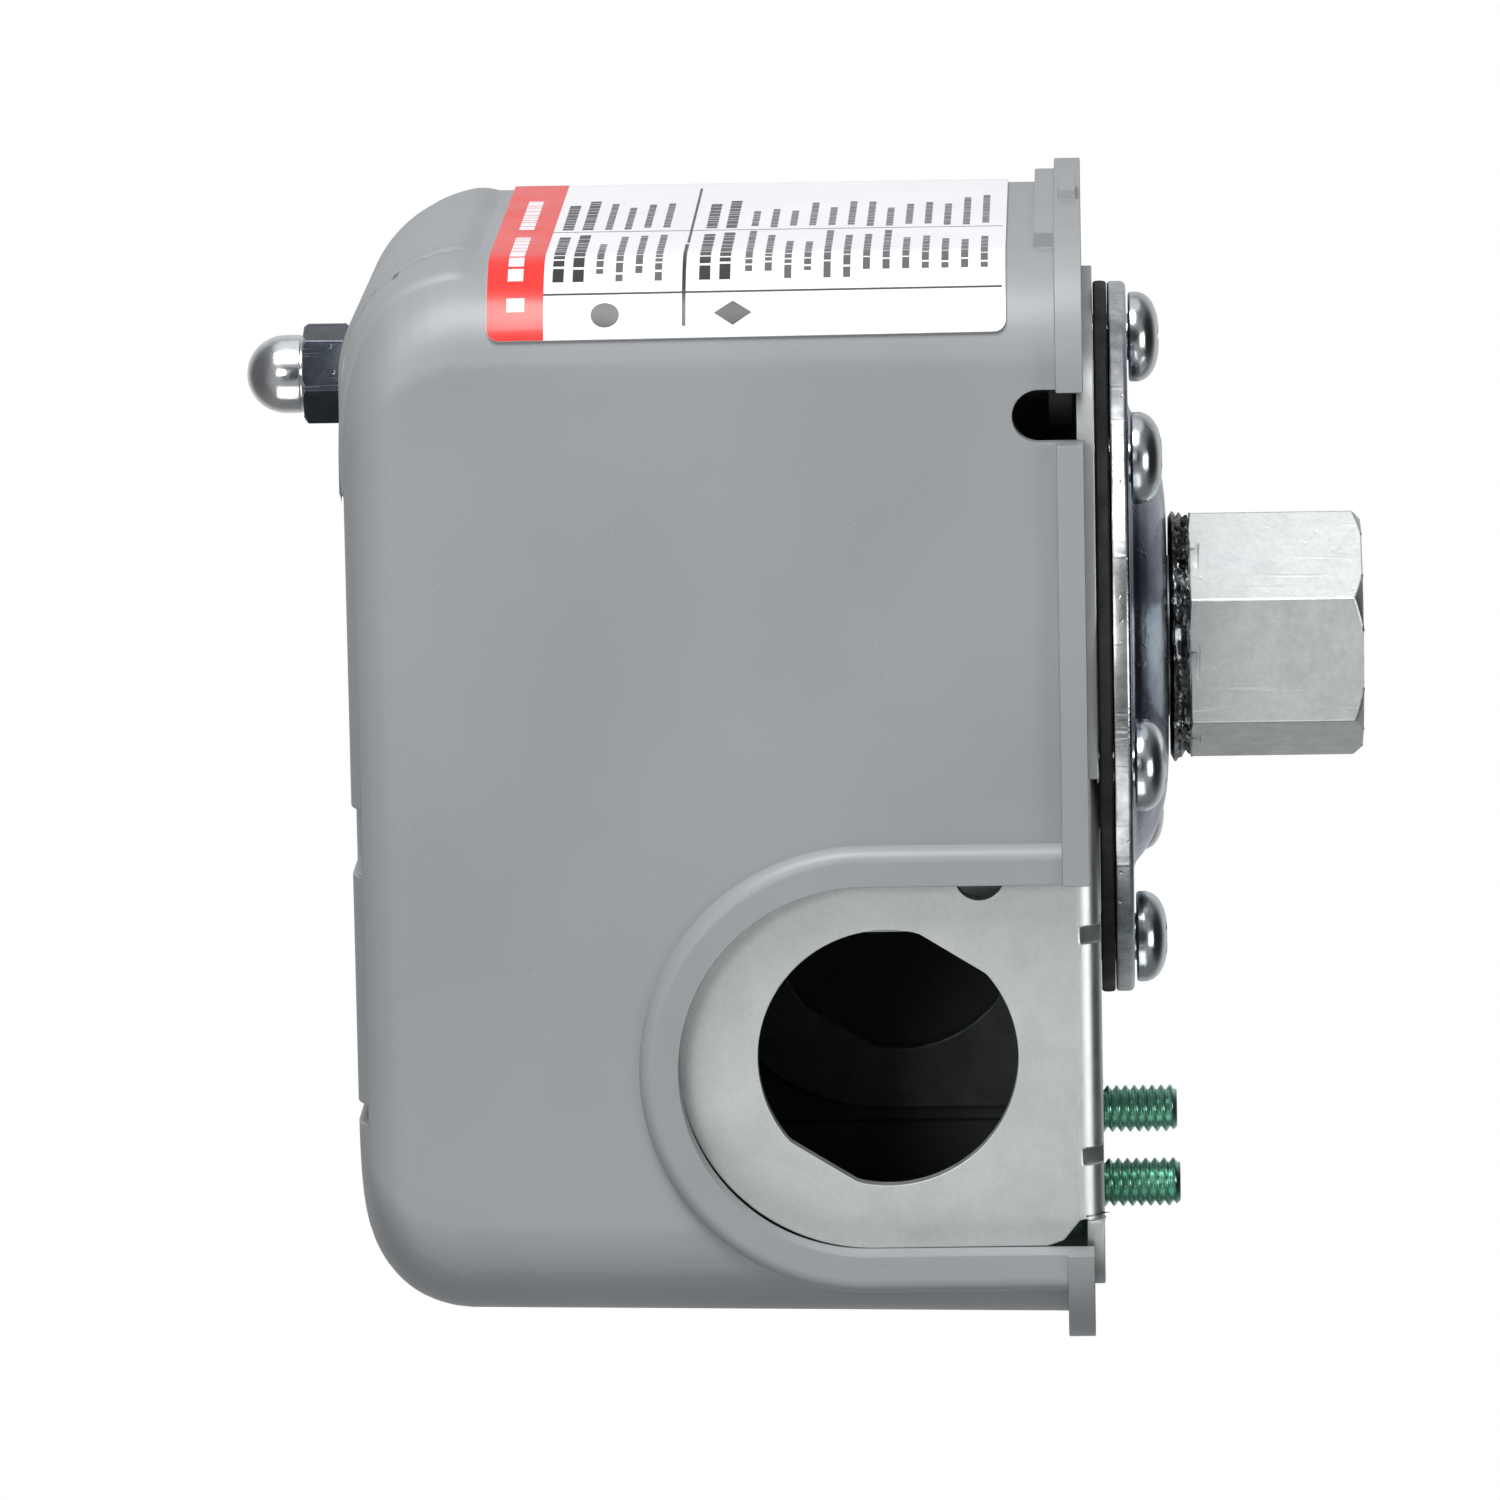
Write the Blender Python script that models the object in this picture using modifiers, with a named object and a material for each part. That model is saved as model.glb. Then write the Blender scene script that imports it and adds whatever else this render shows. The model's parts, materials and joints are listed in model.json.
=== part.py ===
"""Pressure switch for a pump: stamped base, rubber diaphragm and domed flange plate
below, contact gear and two adjusting springs above, under a lift-off moulded cover.

Frame: origin at the centre of the pipe fitting's end face, +Z along the fitting towards
the acorn nut, +X towards the spring end, conduit flanges facing -Y and +Y. Metres.
"""
import bpy
import bmesh
import math
from mathutils import Matrix, Vector

MM = 0.001

# ---- driving dimensions, millimetres -------------------------------------------------
GAP = 0.3                      # air between neighbouring pieces

# pipe fitting
HEX_AF = 19.05                 # across flats, 3/4 in wrench
HEX_LEN = 15.0
HEX_TURN = 25.3                # turn of the hexagon from a corner at +Y, degrees
PIPE_BORE_R = 5.55             # 1/4 in pipe thread, drawn plain
PIPE_BORE_DEPTH = 13.5
FIT_COLLAR_R = 10.2
FIT_NECK_R = 7.0

# pressure end
FLANGE_R = 31.0
PLATE_Z0, PLATE_Z1 = 20.2, 21.8
DOME_R = 20.3
DOME_Z = 16.9                  # lowest outer face of the dome
DOME_T = 1.5
DIA_Z0, DIA_Z1 = 22.0, 22.85
SCREW_PCD_R = 26.3
SCREW_AZ = 14.65               # azimuth of the first screw, degrees
SCREW_COUNT = 6
SCREW_SHANK_R = 2.05
SCREW_HOLE_R = 2.4
PAN_R, PAN_H = 3.95, 2.7

# base frame
BASE_Z0, BASE_Z1 = 23.1, 24.6
BASE_X0, BASE_X1 = -52.6, 29.6
BASE_Y = 30.15
FLG_T = 1.5
FLG_X0, FLG_X1 = -47.8, -14.6  # upright conduit flange
FLG_XC, FLG_ZC = -31.2, 41.4
FLG_R = 16.6
FLG_AZ = 42.8                  # centre height of the flange's rounded end
CONDUIT_R = 11.1               # 1/2 in conduit knockout
CONDUIT_FLAT_R = 10.58         # centre to each chord flat
CONDUIT_FLAT = math.radians(148.1)
CONTROL_HOLE_R = 10.0          # hole in the base for the plunger

# cover
COV_T = 1.8
COV_Z0 = 24.0
COV_Z1 = 86.9
COV_X0, COV_X1 = -54.9, 37.1
COV_Y = 32.3
COV_DRAFT_X0, COV_DRAFT_Y = 1.2, 0.4   # loss of size from rim to roof
COV_RC = 9.0                   # upright corner radius
COV_R_HIGH, COV_R_LOW, COV_R_SIDE = 12.0, 9.5, 5.0   # roof edge radii: +X, -X, sides
LIP_Z1 = 26.3
LIP_OUT = 2.0
OPEN_XC, OPEN_ZC = -31.8, 43.2  # arched conduit opening
OPEN_R, RIM_R = 16.0, 18.6
RIM_OUT = 1.1
SLOT_X0, SLOT_X1, SLOT_Z1 = 21.9, 26.4, 30.0
BAND1_Y, BAND2_Y = 26.6, 18.8
BAND_STEP = 0.3

# cover stud and range spring
STUD_X = 24.2
STUD_R_LOW, STUD_R_HIGH = 3.1, 2.0
NUT_AF = 7.7
NUT_Z0, NUT_HEX_H, NUT_H = 87.8, 4.0, 9.0
NUT_TURN = 48.5                # turn of the nut's hexagon from a corner at +Y, degrees
RANGE_R, RANGE_WIRE = 7.9, 1.15
SEAT_Z = 62.3

# differential spring
DIFF_X, DIFF_Y = 20.5, 19.5
DIFF_R, DIFF_WIRE = 4.1, 0.6
DIFF_SEAT_Z = 52.3

# lever
LEV_Z0, LEV_Z1 = 30.6, 32.1
PIVOT_X, PIVOT_Z, PIVOT_R = -17.0, 34.0, 1.5

# contact gear
BLK_X0, BLK_X1, BLK_Y = -24.0, -2.0, 25.0
BLK_Z0, BLK_Z1 = 52.0, 69.5
ROCK_X, ROCK_Z, ROCK_R = 7.0, 62.0, 1.2


# ---- scene helpers --------------------------------------------------------------------
for old in list(bpy.data.objects):
    bpy.data.objects.remove(old, do_unlink=True)
for col in list(bpy.data.collections):
    bpy.data.collections.remove(col)

PARTS = bpy.data.collections.new("pressure_switch")
CUTS = bpy.data.collections.new("cutters")
bpy.context.scene.collection.children.link(PARTS)
bpy.context.scene.collection.children.link(CUTS)


def material(name, colour, rough, metal=0.0):
    mat = bpy.data.materials.new(name)
    mat.use_nodes = True
    bsdf = mat.node_tree.nodes["Principled BSDF"]
    bsdf.inputs["Base Color"].default_value = (*colour, 1.0)
    bsdf.inputs["Roughness"].default_value = rough
    bsdf.inputs["Metallic"].default_value = metal
    return mat


ZINC = material("zinc_plate", (0.66, 0.69, 0.70), 0.32, 1.0)
ZINC_B = material("bright_zinc", (0.74, 0.77, 0.80), 0.2, 1.0)
GREEN = material("green_zinc", (0.06, 0.30, 0.20), 0.3, 0.8)
PLASTIC = material("grey_plastic", (0.33, 0.34, 0.36), 0.5)
RUBBER = material("black_rubber", (0.02, 0.02, 0.02), 0.7)
BLACK = material("black_moulding", (0.03, 0.03, 0.035), 0.45)
BRASS = material("brass", (0.75, 0.55, 0.25), 0.3, 1.0)
COPPER = material("copper", (0.80, 0.42, 0.28), 0.3, 1.0)
SPRING = material("spring_steel", (0.55, 0.56, 0.58), 0.3, 1.0)
LABEL = material("label", (0.92, 0.92, 0.92), 0.4)


def put(name, mesh, mat=None, cutter=False):
    ob = bpy.data.objects.new(name, mesh)
    (CUTS if cutter else PARTS).objects.link(ob)
    if cutter:
        ob.hide_render = True
        ob.display_type = 'WIRE'
    if mat is not None:
        mesh.materials.clear()
        mesh.materials.append(mat)
    return ob


def from_bm(name, bm, mat=None, cutter=False):
    me = bpy.data.meshes.new(name)
    bmesh.ops.recalc_face_normals(bm, faces=bm.faces)
    bm.to_mesh(me)
    bm.free()
    return put(name, me, mat, cutter)


def add_box(bm, lo, hi):
    lo, hi = Vector(lo) * MM, Vector(hi) * MM
    made = bmesh.ops.create_cube(bm, size=1.0)["verts"]
    size = hi - lo
    for v in made:
        v.co = lo + Vector(((v.co.x + 0.5) * size.x, (v.co.y + 0.5) * size.y, (v.co.z + 0.5) * size.z))
    return made


def box(name, lo, hi, mat=None, cutter=False):
    bm = bmesh.new()
    add_box(bm, lo, hi)
    return from_bm(name, bm, mat, cutter)


def add_cyl(bm, r, at, z0, z1, axis='Z', seg=32, r_top=None, turn=0.0):
    """Cylinder or cone along an axis, between z0 and z1 on that axis."""
    made = bmesh.ops.create_cone(bm, cap_ends=True, segments=seg, radius1=r * MM,
                                 radius2=(r if r_top is None else r_top) * MM,
                                 depth=(z1 - z0) * MM,
                                 matrix=Matrix.Rotation(math.radians(turn), 4, 'Z'))["verts"]
    rot = {'Z': Matrix.Identity(4), 'Y': Matrix.Rotation(-math.pi / 2, 4, 'X'),
           'X': Matrix.Rotation(math.pi / 2, 4, 'Y')}[axis]
    mid = (z0 + z1) / 2
    off = {'Z': (at[0], at[1], mid), 'Y': (at[0], mid, at[1]), 'X': (mid, at[0], at[1])}[axis]
    bmesh.ops.transform(bm, matrix=Matrix.Translation(Vector(off) * MM) @ rot, verts=made)
    return made


def cyl(name, r, at, z0, z1, mat=None, cutter=False, axis='Z', seg=32, r_top=None, turn=0.0):
    bm = bmesh.new()
    add_cyl(bm, r, at, z0, z1, axis, seg, r_top, turn)
    return from_bm(name, bm, mat, cutter)


def turned(name, profile, at=(0.0, 0.0), mat=None, cutter=False, seg=32, closed=False):
    """Solid of revolution about Z from (radius, z) points that run down the outer side."""
    me = bpy.data.meshes.new(name)
    pts = [(r * MM, 0.0, z * MM) for r, z in profile]
    edges = [(i, i + 1) for i in range(len(pts) - 1)]
    if closed:
        edges.append((len(pts) - 1, 0))
    me.from_pydata(pts, edges, [])
    ob = put(name, me, mat, cutter)
    ob.location = Vector((at[0], at[1], 0.0)) * MM
    mod = ob.modifiers.new("turn", 'SCREW')
    mod.axis = 'Z'
    mod.angle = math.tau
    mod.steps = mod.render_steps = seg
    mod.use_merge_vertices = True
    mod.merge_threshold = 0.00001
    mod.use_normal_calculate = False
    return ob


def extruded(name, outline, lo, hi, mat=None, cutter=False, plane='XZ'):
    """Flat outline given in XZ or XY, filled and extruded from lo to hi across the plane."""
    cu = bpy.data.curves.new(name, 'CURVE')
    cu.dimensions = '2D'
    cu.fill_mode = 'BOTH'
    cu.extrude = (hi - lo) / 2 * MM
    sp = cu.splines.new('POLY')
    sp.points.add(len(outline) - 1)
    for p, (a, b) in zip(sp.points, outline):
        p.co = (a * MM, b * MM, 0.0, 1.0)
    sp.use_cyclic_u = True
    tmp = bpy.data.objects.new(name + "_outline", cu)
    PARTS.objects.link(tmp)
    mid = (lo + hi) / 2 * MM
    if plane == 'XZ':
        tmp.matrix_world = Matrix.Translation((0, mid, 0)) @ Matrix.Rotation(math.pi / 2, 4, 'X')
    else:
        tmp.matrix_world = Matrix.Translation((0, 0, mid))
    bpy.context.view_layer.update()
    dg = bpy.context.evaluated_depsgraph_get()
    me = bpy.data.meshes.new_from_object(tmp.evaluated_get(dg))
    bm = bmesh.new()
    bm.from_mesh(me)
    bmesh.ops.remove_doubles(bm, verts=bm.verts, dist=0.00001)
    bmesh.ops.transform(bm, matrix=tmp.matrix_world, verts=bm.verts)
    bpy.data.objects.remove(tmp, do_unlink=True)
    bpy.data.meshes.remove(me)
    return from_bm(name, bm, mat, cutter)


def coil(name, r, wire, z0, z1, turns, at, mat, per_turn=12):
    """Compression spring with closed, flat-wound end turns."""
    cu = bpy.data.curves.new(name, 'CURVE')
    cu.dimensions = '3D'
    cu.bevel_depth = wire * MM
    cu.bevel_resolution = 1
    cu.use_fill_caps = True
    sp = cu.splines.new('POLY')
    n = int(turns * per_turn)
    sp.points.add(n)
    dead = 0.9 * wire * 2
    lo, hi = z0 + wire, z1 - wire
    for i, p in enumerate(sp.points):
        t = i / per_turn
        if t < 1:
            z = lo + dead * 1.15 * t
        elif t > turns - 1:
            z = hi - dead * 1.15 * (turns - t)
        else:
            f = (t - 1) / (turns - 2)
            z = lo + dead * 1.15 + (hi - lo - 2.3 * dead) * f
        a = math.tau * t
        p.co = ((at[0] + r * math.cos(a)) * MM, (at[1] + r * math.sin(a)) * MM, z * MM, 1.0)
    ob = bpy.data.objects.new(name, cu)
    PARTS.objects.link(ob)
    cu.materials.append(mat)
    return ob


def boolean(ob, other, op='DIFFERENCE'):
    mod = ob.modifiers.new(other.name, 'BOOLEAN')
    mod.operation = op
    mod.solver = 'EXACT'
    mod.object = other
    return mod


def cut(ob, *others):
    for other in others:
        boolean(ob, other, 'DIFFERENCE')


def join(ob, *others):
    for other in others:
        boolean(ob, other, 'UNION')


def arch(xc, zc, r, z0, n=14):
    """Outline of an arch: half circle above, straight sides down to z0."""
    pts = [(xc + r * math.cos(math.pi * i / n), zc + r * math.sin(math.pi * i / n)) for i in range(n + 1)]
    return pts + [(xc - r, z0), (xc + r, z0)]


def round_rect(x0, x1, y0, y1, r, n=5):
    pts = []
    for cx, cy, a0 in ((x1 - r, y1 - r, 0), (x0 + r, y1 - r, 90), (x0 + r, y0 + r, 180), (x1 - r, y0 + r, 270)):
        for i in range(n + 1):
            a = math.radians(a0 + 90 * i / n)
            pts.append((cx + r * math.cos(a), cy + r * math.sin(a)))
    return pts


def conduit_outline(n):
    """Round conduit hole with two opposite chord flats."""
    pts = []
    for i in range(n):
        a = math.tau * i / n
        x, z = math.cos(a), math.sin(a)
        along = x * math.cos(CONDUIT_FLAT) + z * math.sin(CONDUIT_FLAT)
        if abs(along) > CONDUIT_FLAT_R / CONDUIT_R:
            over = abs(along) * CONDUIT_R - CONDUIT_FLAT_R
            s = 1 if along > 0 else -1
            pts.append((FLG_XC + x * CONDUIT_R - s * over * math.cos(CONDUIT_FLAT),
                        FLG_ZC + z * CONDUIT_R - s * over * math.sin(CONDUIT_FLAT)))
        else:
            pts.append((FLG_XC + x * CONDUIT_R, FLG_ZC + z * CONDUIT_R))
    return pts


def hex_r(af):
    return af / 2 / math.cos(math.pi / 6)


def screw_azimuths():
    return [math.radians(SCREW_AZ + 360.0 / SCREW_COUNT * k) for k in range(SCREW_COUNT)]


def smooth(ob, angle=35):
    ob.data.shade_smooth()
    ob.data.set_sharp_from_angle(angle=math.radians(angle))


# ---- pipe fitting ---------------------------------------------------------------------
def build_fitting():
    rc = hex_r(HEX_AF)
    ob = cyl("hex_fitting", rc, (0, 0), 0.0, HEX_LEN, ZINC, seg=6, turn=HEX_TURN)
    chamfer = turned("fitting_chamfer", [(0, HEX_LEN + 1), (rc - 0.4, HEX_LEN + 0.4), (rc + 0.35, HEX_LEN - 0.6),
                                         (rc + 0.35, 1.0), (rc - 1.25, -0.05), (0, -0.05)], cutter=True, seg=30)
    boolean(ob, chamfer, 'INTERSECT')
    neck = turned("fitting_neck", [(0, 19.5), (8.4, 19.5), (8.4, 18.75), (FIT_NECK_R, 18.75), (FIT_NECK_R, DOME_Z - GAP),
                                   (FIT_COLLAR_R, DOME_Z - GAP), (FIT_COLLAR_R, HEX_LEN - 0.8), (0, HEX_LEN - 0.8)],
                  cutter=True, seg=24)
    join(ob, neck)
    bore = turned("fitting_bore", [(0, 25), (2.4, 25), (2.4, PIPE_BORE_DEPTH + 1.6), (PIPE_BORE_R, PIPE_BORE_DEPTH),
                                   (PIPE_BORE_R, 1.0), (PIPE_BORE_R + 1.1, -0.2), (0, -0.2)], cutter=True, seg=20)
    cut(ob, bore)
    return ob


# ---- domed flange plate ---------------------------------------------------------------
def build_plate():
    outer = [(FLANGE_R, PLATE_Z1), (FLANGE_R, PLATE_Z0), (DOME_R, PLATE_Z0), (DOME_R - 1.4, PLATE_Z0 - 0.85),
             (DOME_R - 3.0, PLATE_Z0 - 1.9), (DOME_R - 5.4, PLATE_Z0 - 2.75), (DOME_R - 8.3, DOME_Z + 0.12),
             (FIT_NECK_R + GAP, DOME_Z)]
    inner = [(FIT_NECK_R + GAP, DOME_Z + DOME_T), (DOME_R - 8.8, DOME_Z + DOME_T + 0.15),
             (DOME_R - 6.2, PLATE_Z0 - 1.2), (DOME_R - 4.2, PLATE_Z0 - 0.4), (DOME_R - 2.2, PLATE_Z0 + 0.9),
             (DOME_R - 1.4, PLATE_Z1)]
    ob = turned("flange_plate", outer + inner, mat=ZINC_B, seg=32, closed=True)
    for k, a in enumerate(screw_azimuths()):
        cut(ob, cyl("plate_hole_%d" % k, SCREW_HOLE_R, (SCREW_PCD_R * math.cos(a), SCREW_PCD_R * math.sin(a)),
                    PLATE_Z0 - 2, PLATE_Z1 + 2, cutter=True, seg=10))
    return ob


def build_diaphragm():
    prof = [(0, DIA_Z1), (14.2, DIA_Z1), (15.6, DIA_Z1 - 0.9), (17.0, DIA_Z1), (FLANGE_R, DIA_Z1), (FLANGE_R, DIA_Z0),
            (17.6, DIA_Z0), (15.6, DIA_Z0 - 1.1), (13.6, DIA_Z0), (0, DIA_Z0)]
    ob = turned("diaphragm", prof, mat=RUBBER, seg=32)
    for k, a in enumerate(screw_azimuths()):
        cut(ob, cyl("diaphragm_hole_%d" % k, SCREW_HOLE_R, (SCREW_PCD_R * math.cos(a), SCREW_PCD_R * math.sin(a)),
                    DIA_Z0 - 2, DIA_Z1 + 2, cutter=True, seg=10))
    return ob


def ring_stack(name, at, rings, mat=None, cutter=False, seg=16):
    """Turned solid as stacked rings, from the lowest to the highest."""
    return turned(name, [(0, rings[-1][1])] + [(r, h) for r, h in rings[::-1]] + [(0, rings[0][1])], at, mat, cutter, seg)


def build_flange_screw(name, a):
    """Pan-head cross-recess screw, head down."""
    z = PLATE_Z0 - GAP * 0.7
    at = (SCREW_PCD_R * math.cos(a), SCREW_PCD_R * math.sin(a))
    ob = ring_stack(name, at, [(1.6, z - PAN_H), (3.1, z - PAN_H + 0.75), (PAN_R, z - 0.9), (PAN_R, z), (SCREW_SHANK_R, z),
                               (SCREW_SHANK_R, BASE_Z1 - 0.2)], ZINC_B, seg=14)
    x, y = at
    cut(ob, box(name + "_recess_a", (x - 1.9, y - 0.35, z - PAN_H - 1), (x + 1.9, y + 0.35, z - PAN_H + 1.3), cutter=True),
        box(name + "_recess_b", (x - 0.35, y - 1.9, z - PAN_H - 1), (x + 0.35, y + 1.9, z - PAN_H + 1.25), cutter=True))
    return ob


# ---- base frame -----------------------------------------------------------------------
def build_base():
    ob = extruded("base_frame", round_rect(BASE_X0, BASE_X1, -BASE_Y, BASE_Y, 7.5), BASE_Z0, BASE_Z1, ZINC, plane='XY')
    outline = [(FLG_X1 + 7.0, BASE_Z0 + 0.1), (FLG_X1 + 7.0, 33.5), (FLG_X1 + 4.0, 37.5), (FLG_XC + FLG_R, 37.8)]
    outline += [(FLG_XC + FLG_R * math.cos(math.pi * i / 12), FLG_AZ + FLG_R * math.sin(math.pi * i / 12)) for i in range(13)]
    outline += [(FLG_X0, 28.0), (FLG_X0 + 2.2, BASE_Z1 + 0.6), (FLG_X0 + 2.6, BASE_Z0 + 0.1)]
    for side, lo, hi in (("front", -BASE_Y, -BASE_Y + FLG_T), ("back", BASE_Y - FLG_T, BASE_Y)):
        join(ob, extruded("flange_" + side, outline, lo, hi, cutter=True))
    # ears that carry the lever's pivot pin
    for side, y in (("front", -13.5), ("back", 12.0)):
        join(ob, extruded("ear_" + side, [(-21.0, BASE_Z1 - 0.5), (-13.0, BASE_Z1 - 0.5), (-13.6, 35.5), (-15.0, 37.3),
                                          (-19.0, 37.3), (-20.4, 35.5)], y, y + 1.5, cutter=True))
    cut(ob, extruded("base_conduit", conduit_outline(48), -BASE_Y - 3, BASE_Y + 3, cutter=True))
    cut(ob, cyl("base_pivot_hole", PIVOT_R + GAP, (PIVOT_X, PIVOT_Z), -15, 15, cutter=True, axis='Y', seg=16))
    bm = bmesh.new()
    for a in screw_azimuths():
        add_cyl(bm, SCREW_HOLE_R, (SCREW_PCD_R * math.cos(a), SCREW_PCD_R * math.sin(a)), BASE_Z0 - 2, BASE_Z1 + 2, seg=10)
    for y in (-15.6, 15.6):
        add_cyl(bm, 2.5, (-45.4, y), BASE_Z0 - 2, BASE_Z1 + 2, seg=12)
    add_cyl(bm, CONTROL_HOLE_R, (0, 0), BASE_Z0 - 2, BASE_Z1 + 2, seg=24)
    add_cyl(bm, 2.9, (STUD_X, 0), BASE_Z0 - 2, BASE_Z1 + 2, seg=20)
    add_cyl(bm, 2.2, (DIFF_X, DIFF_Y), BASE_Z0 - 2, BASE_Z1 + 2, seg=16)
    cut(ob, from_bm("base_holes", bm, cutter=True))
    # relief slots across the bend, on both sides
    bm = bmesh.new()
    for sx in (-1, 1):
        for x in (FLG_XC - 9.4, FLG_XC + 9.8):
            y = sx * BASE_Y
            add_box(bm, (x - 0.55, min(y - sx * 0.8, y + sx * 1), BASE_Z0 - 1), (x + 0.55, max(y - sx * 0.8, y + sx * 1), BASE_Z1 + 1.1))
    for sx in (-1, 1):
        y = sx * BASE_Y
        add_cyl(bm, 2.1, (-13.4, 33.2), min(y - sx * 3, y + sx * 3), max(y - sx * 3, y + sx * 3), axis='Y', seg=16)
    cut(ob, from_bm("base_slots", bm, cutter=True))
    return ob


def build_ground_screw(name, y):
    """Slotted washer-head earth screw standing through the base."""
    at = (-45.4, y)
    ob = ring_stack(name, at, [(1.75, 16.5), (2.08, 16.95), (2.08, BASE_Z1 + GAP), (4.4, BASE_Z1 + GAP),
                               (4.4, BASE_Z1 + GAP + 0.9), (3.6, BASE_Z1 + GAP + 1.1), (3.4, BASE_Z1 + 3.4)],
                    GREEN, seg=14)
    cut(ob, box(name + "_slot", (-50.5, y - 0.45, BASE_Z1 + 2.3), (-40.5, y + 0.45, BASE_Z1 + 5), cutter=True))
    return ob


# ---- cover ----------------------------------------------------------------------------
def inset(z, top, r):
    d = z - (top - r)
    return 0.0 if d <= 0 else r - math.sqrt(max(r * r - d * d, 0.0))


def cover_section(z, off):
    """Plan outline of the cover at height z, offset inwards by off."""
    top = COV_Z1 - off
    f = min(max((z - COV_Z0) / (COV_Z1 - COV_Z0), 0.0), 1.0)
    x0 = COV_X0 + COV_DRAFT_X0 * f + off + inset(z, top, COV_R_LOW - off)
    x1 = COV_X1 - off - inset(z, top, COV_R_HIGH - off)
    y = COV_Y - COV_DRAFT_Y * f - off - inset(z, top, COV_R_SIDE - off)
    return round_rect(x0, x1, -y, y, COV_RC - off, 4 if off == 0 else 3)


def cover_loft(name, off, z0, grow=0.0, cutter=False, mat=None):
    top = COV_Z1 - off
    rise = (12.0, 8.0, 5.0, 2.6, 0.9, 0.0)
    levels = [z0] + [top - h for h in rise]
    bm = bmesh.new()
    loops = []
    for z in levels:
        loops.append([bm.verts.new((x * MM, y * MM, z * MM)) for x, y in cover_section(z, off)])
    n = len(loops[0])
    for lo, hi in zip(loops, loops[1:]):
        for i in range(n):
            bm.faces.new((lo[i], lo[(i + 1) % n], hi[(i + 1) % n], hi[i]))
    bm.faces.new(loops[0][::-1])
    bm.faces.new(loops[-1])
    return from_bm(name, bm, mat, cutter)


def band_outline(step):
    """Side outline of a raised band that runs over the roof and down the +X wall."""
    pts = []
    top, right, r = COV_Z1 + step, COV_X1 + step, COV_R_HIGH + step
    for i in range(7):
        a = math.radians(90 * i / 6)
        pts.append((right - r + r * math.cos(a), top - r + r * math.sin(a)))
    left = 17.5
    return [(left, 74.6), (COV_X1 - 0.1, 74.6), (right, 74.7)] + pts + [(left, top)]


def build_cover():
    ob = cover_loft("cover", 0.0, COV_Z0, mat=PLASTIC)
    lip = extruded("cover_lip", round_rect(COV_X0 - LIP_OUT, COV_X1 + LIP_OUT, -COV_Y - LIP_OUT, COV_Y + LIP_OUT, COV_RC + 1.5, 4),
                   COV_Z0, LIP_Z1, cutter=True, plane='XY')
    pad = box("lip_pad", (COV_X1 - 1.5, -22.0, COV_Z0), (COV_X1 + LIP_OUT - 0.2, 22.0, 27.6), cutter=True)
    join(ob, lip, pad)
    for k, (y, st) in enumerate(((BAND1_Y, BAND_STEP), (BAND2_Y, 2 * BAND_STEP))):
        join(ob, extruded("roof_band_%d" % k, band_outline(st), -y, y, cutter=True))
    # collar round the conduit opening
    join(ob, extruded("rim_front", arch(OPEN_XC, OPEN_ZC, RIM_R, COV_Z0 + 0.05), -COV_Y - RIM_OUT, -COV_Y + 1.2, cutter=True))
    cut(ob, cover_loft("cover_hollow", COV_T, COV_Z0 - 3, cutter=True))
    # pocket that clears the far conduit flange
    cut(ob, box("cover_pocket", (-49.2, 25.0, COV_Z0 - 3), (-6.5, BASE_Y + 0.35, 60.2), cutter=True))
    cut(ob, extruded("cover_opening", arch(OPEN_XC, OPEN_ZC, OPEN_R, COV_Z0 - 3), -COV_Y - 5, -COV_Y + 8, cutter=True))
    # breather slot low on both walls
    sx = (SLOT_X0 + SLOT_X1) / 2
    cut(ob, extruded("cover_slot", arch(sx, SLOT_Z1 - (SLOT_X1 - SLOT_X0) / 2, (SLOT_X1 - SLOT_X0) / 2, COV_Z0 - 3, 6),
                     -COV_Y - 5, COV_Y + 5, cutter=True))
    cut(ob, cyl("cover_stud_hole", STUD_R_HIGH + 0.5, (STUD_X, 0), COV_Z1 - 6, COV_Z1 + 6, cutter=True, seg=14))
    # ledges and cross channels along the roof's long edges
    bm = bmesh.new()
    for s in (-1, 1):
        for lo, hi in (((-36.5, 30.9, 85.3), (17.5, 35.0, 91.0)), ((-15.0, 20.5, 85.9), (-9.2, 30.95, 91.0)),
                       ((-36.5, 20.5, 85.9), (-34.8, 30.95, 91.0))):
            ya, yb = sorted((s * lo[1], s * hi[1]))
            add_box(bm, (lo[0], ya, lo[2]), (hi[0], yb, hi[2]))
    me = from_bm("roof_cuts", bm, cutter=True)
    cut(ob, me)
    return ob


def build_label():
    """Adhesive label wrapped over the whole +X wall and both upright corners at the spring end."""
    r = COV_RC
    y_side = COV_Y - COV_DRAFT_Y * 0.35
    cx, cy = COV_X1 - r, y_side - r
    inner, outer = r + 0.25, r + 0.55
    pts_o, pts_i = [], []
    for rr, dst in ((outer, pts_o), (inner, pts_i)):
        for i in range(8):
            a = math.radians(-63.0 + 63.0 * i / 7)
            dst.append((cx + rr * math.cos(a), -cy + rr * math.sin(a)))
        for i in range(6):
            a = math.radians(45.0 * i / 5)
            dst.append((cx + rr * math.cos(a), cy + rr * math.sin(a)))
    return extruded("cover_label", pts_o + pts_i[::-1], 30.4, 74.2, LABEL, plane='XY')


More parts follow.
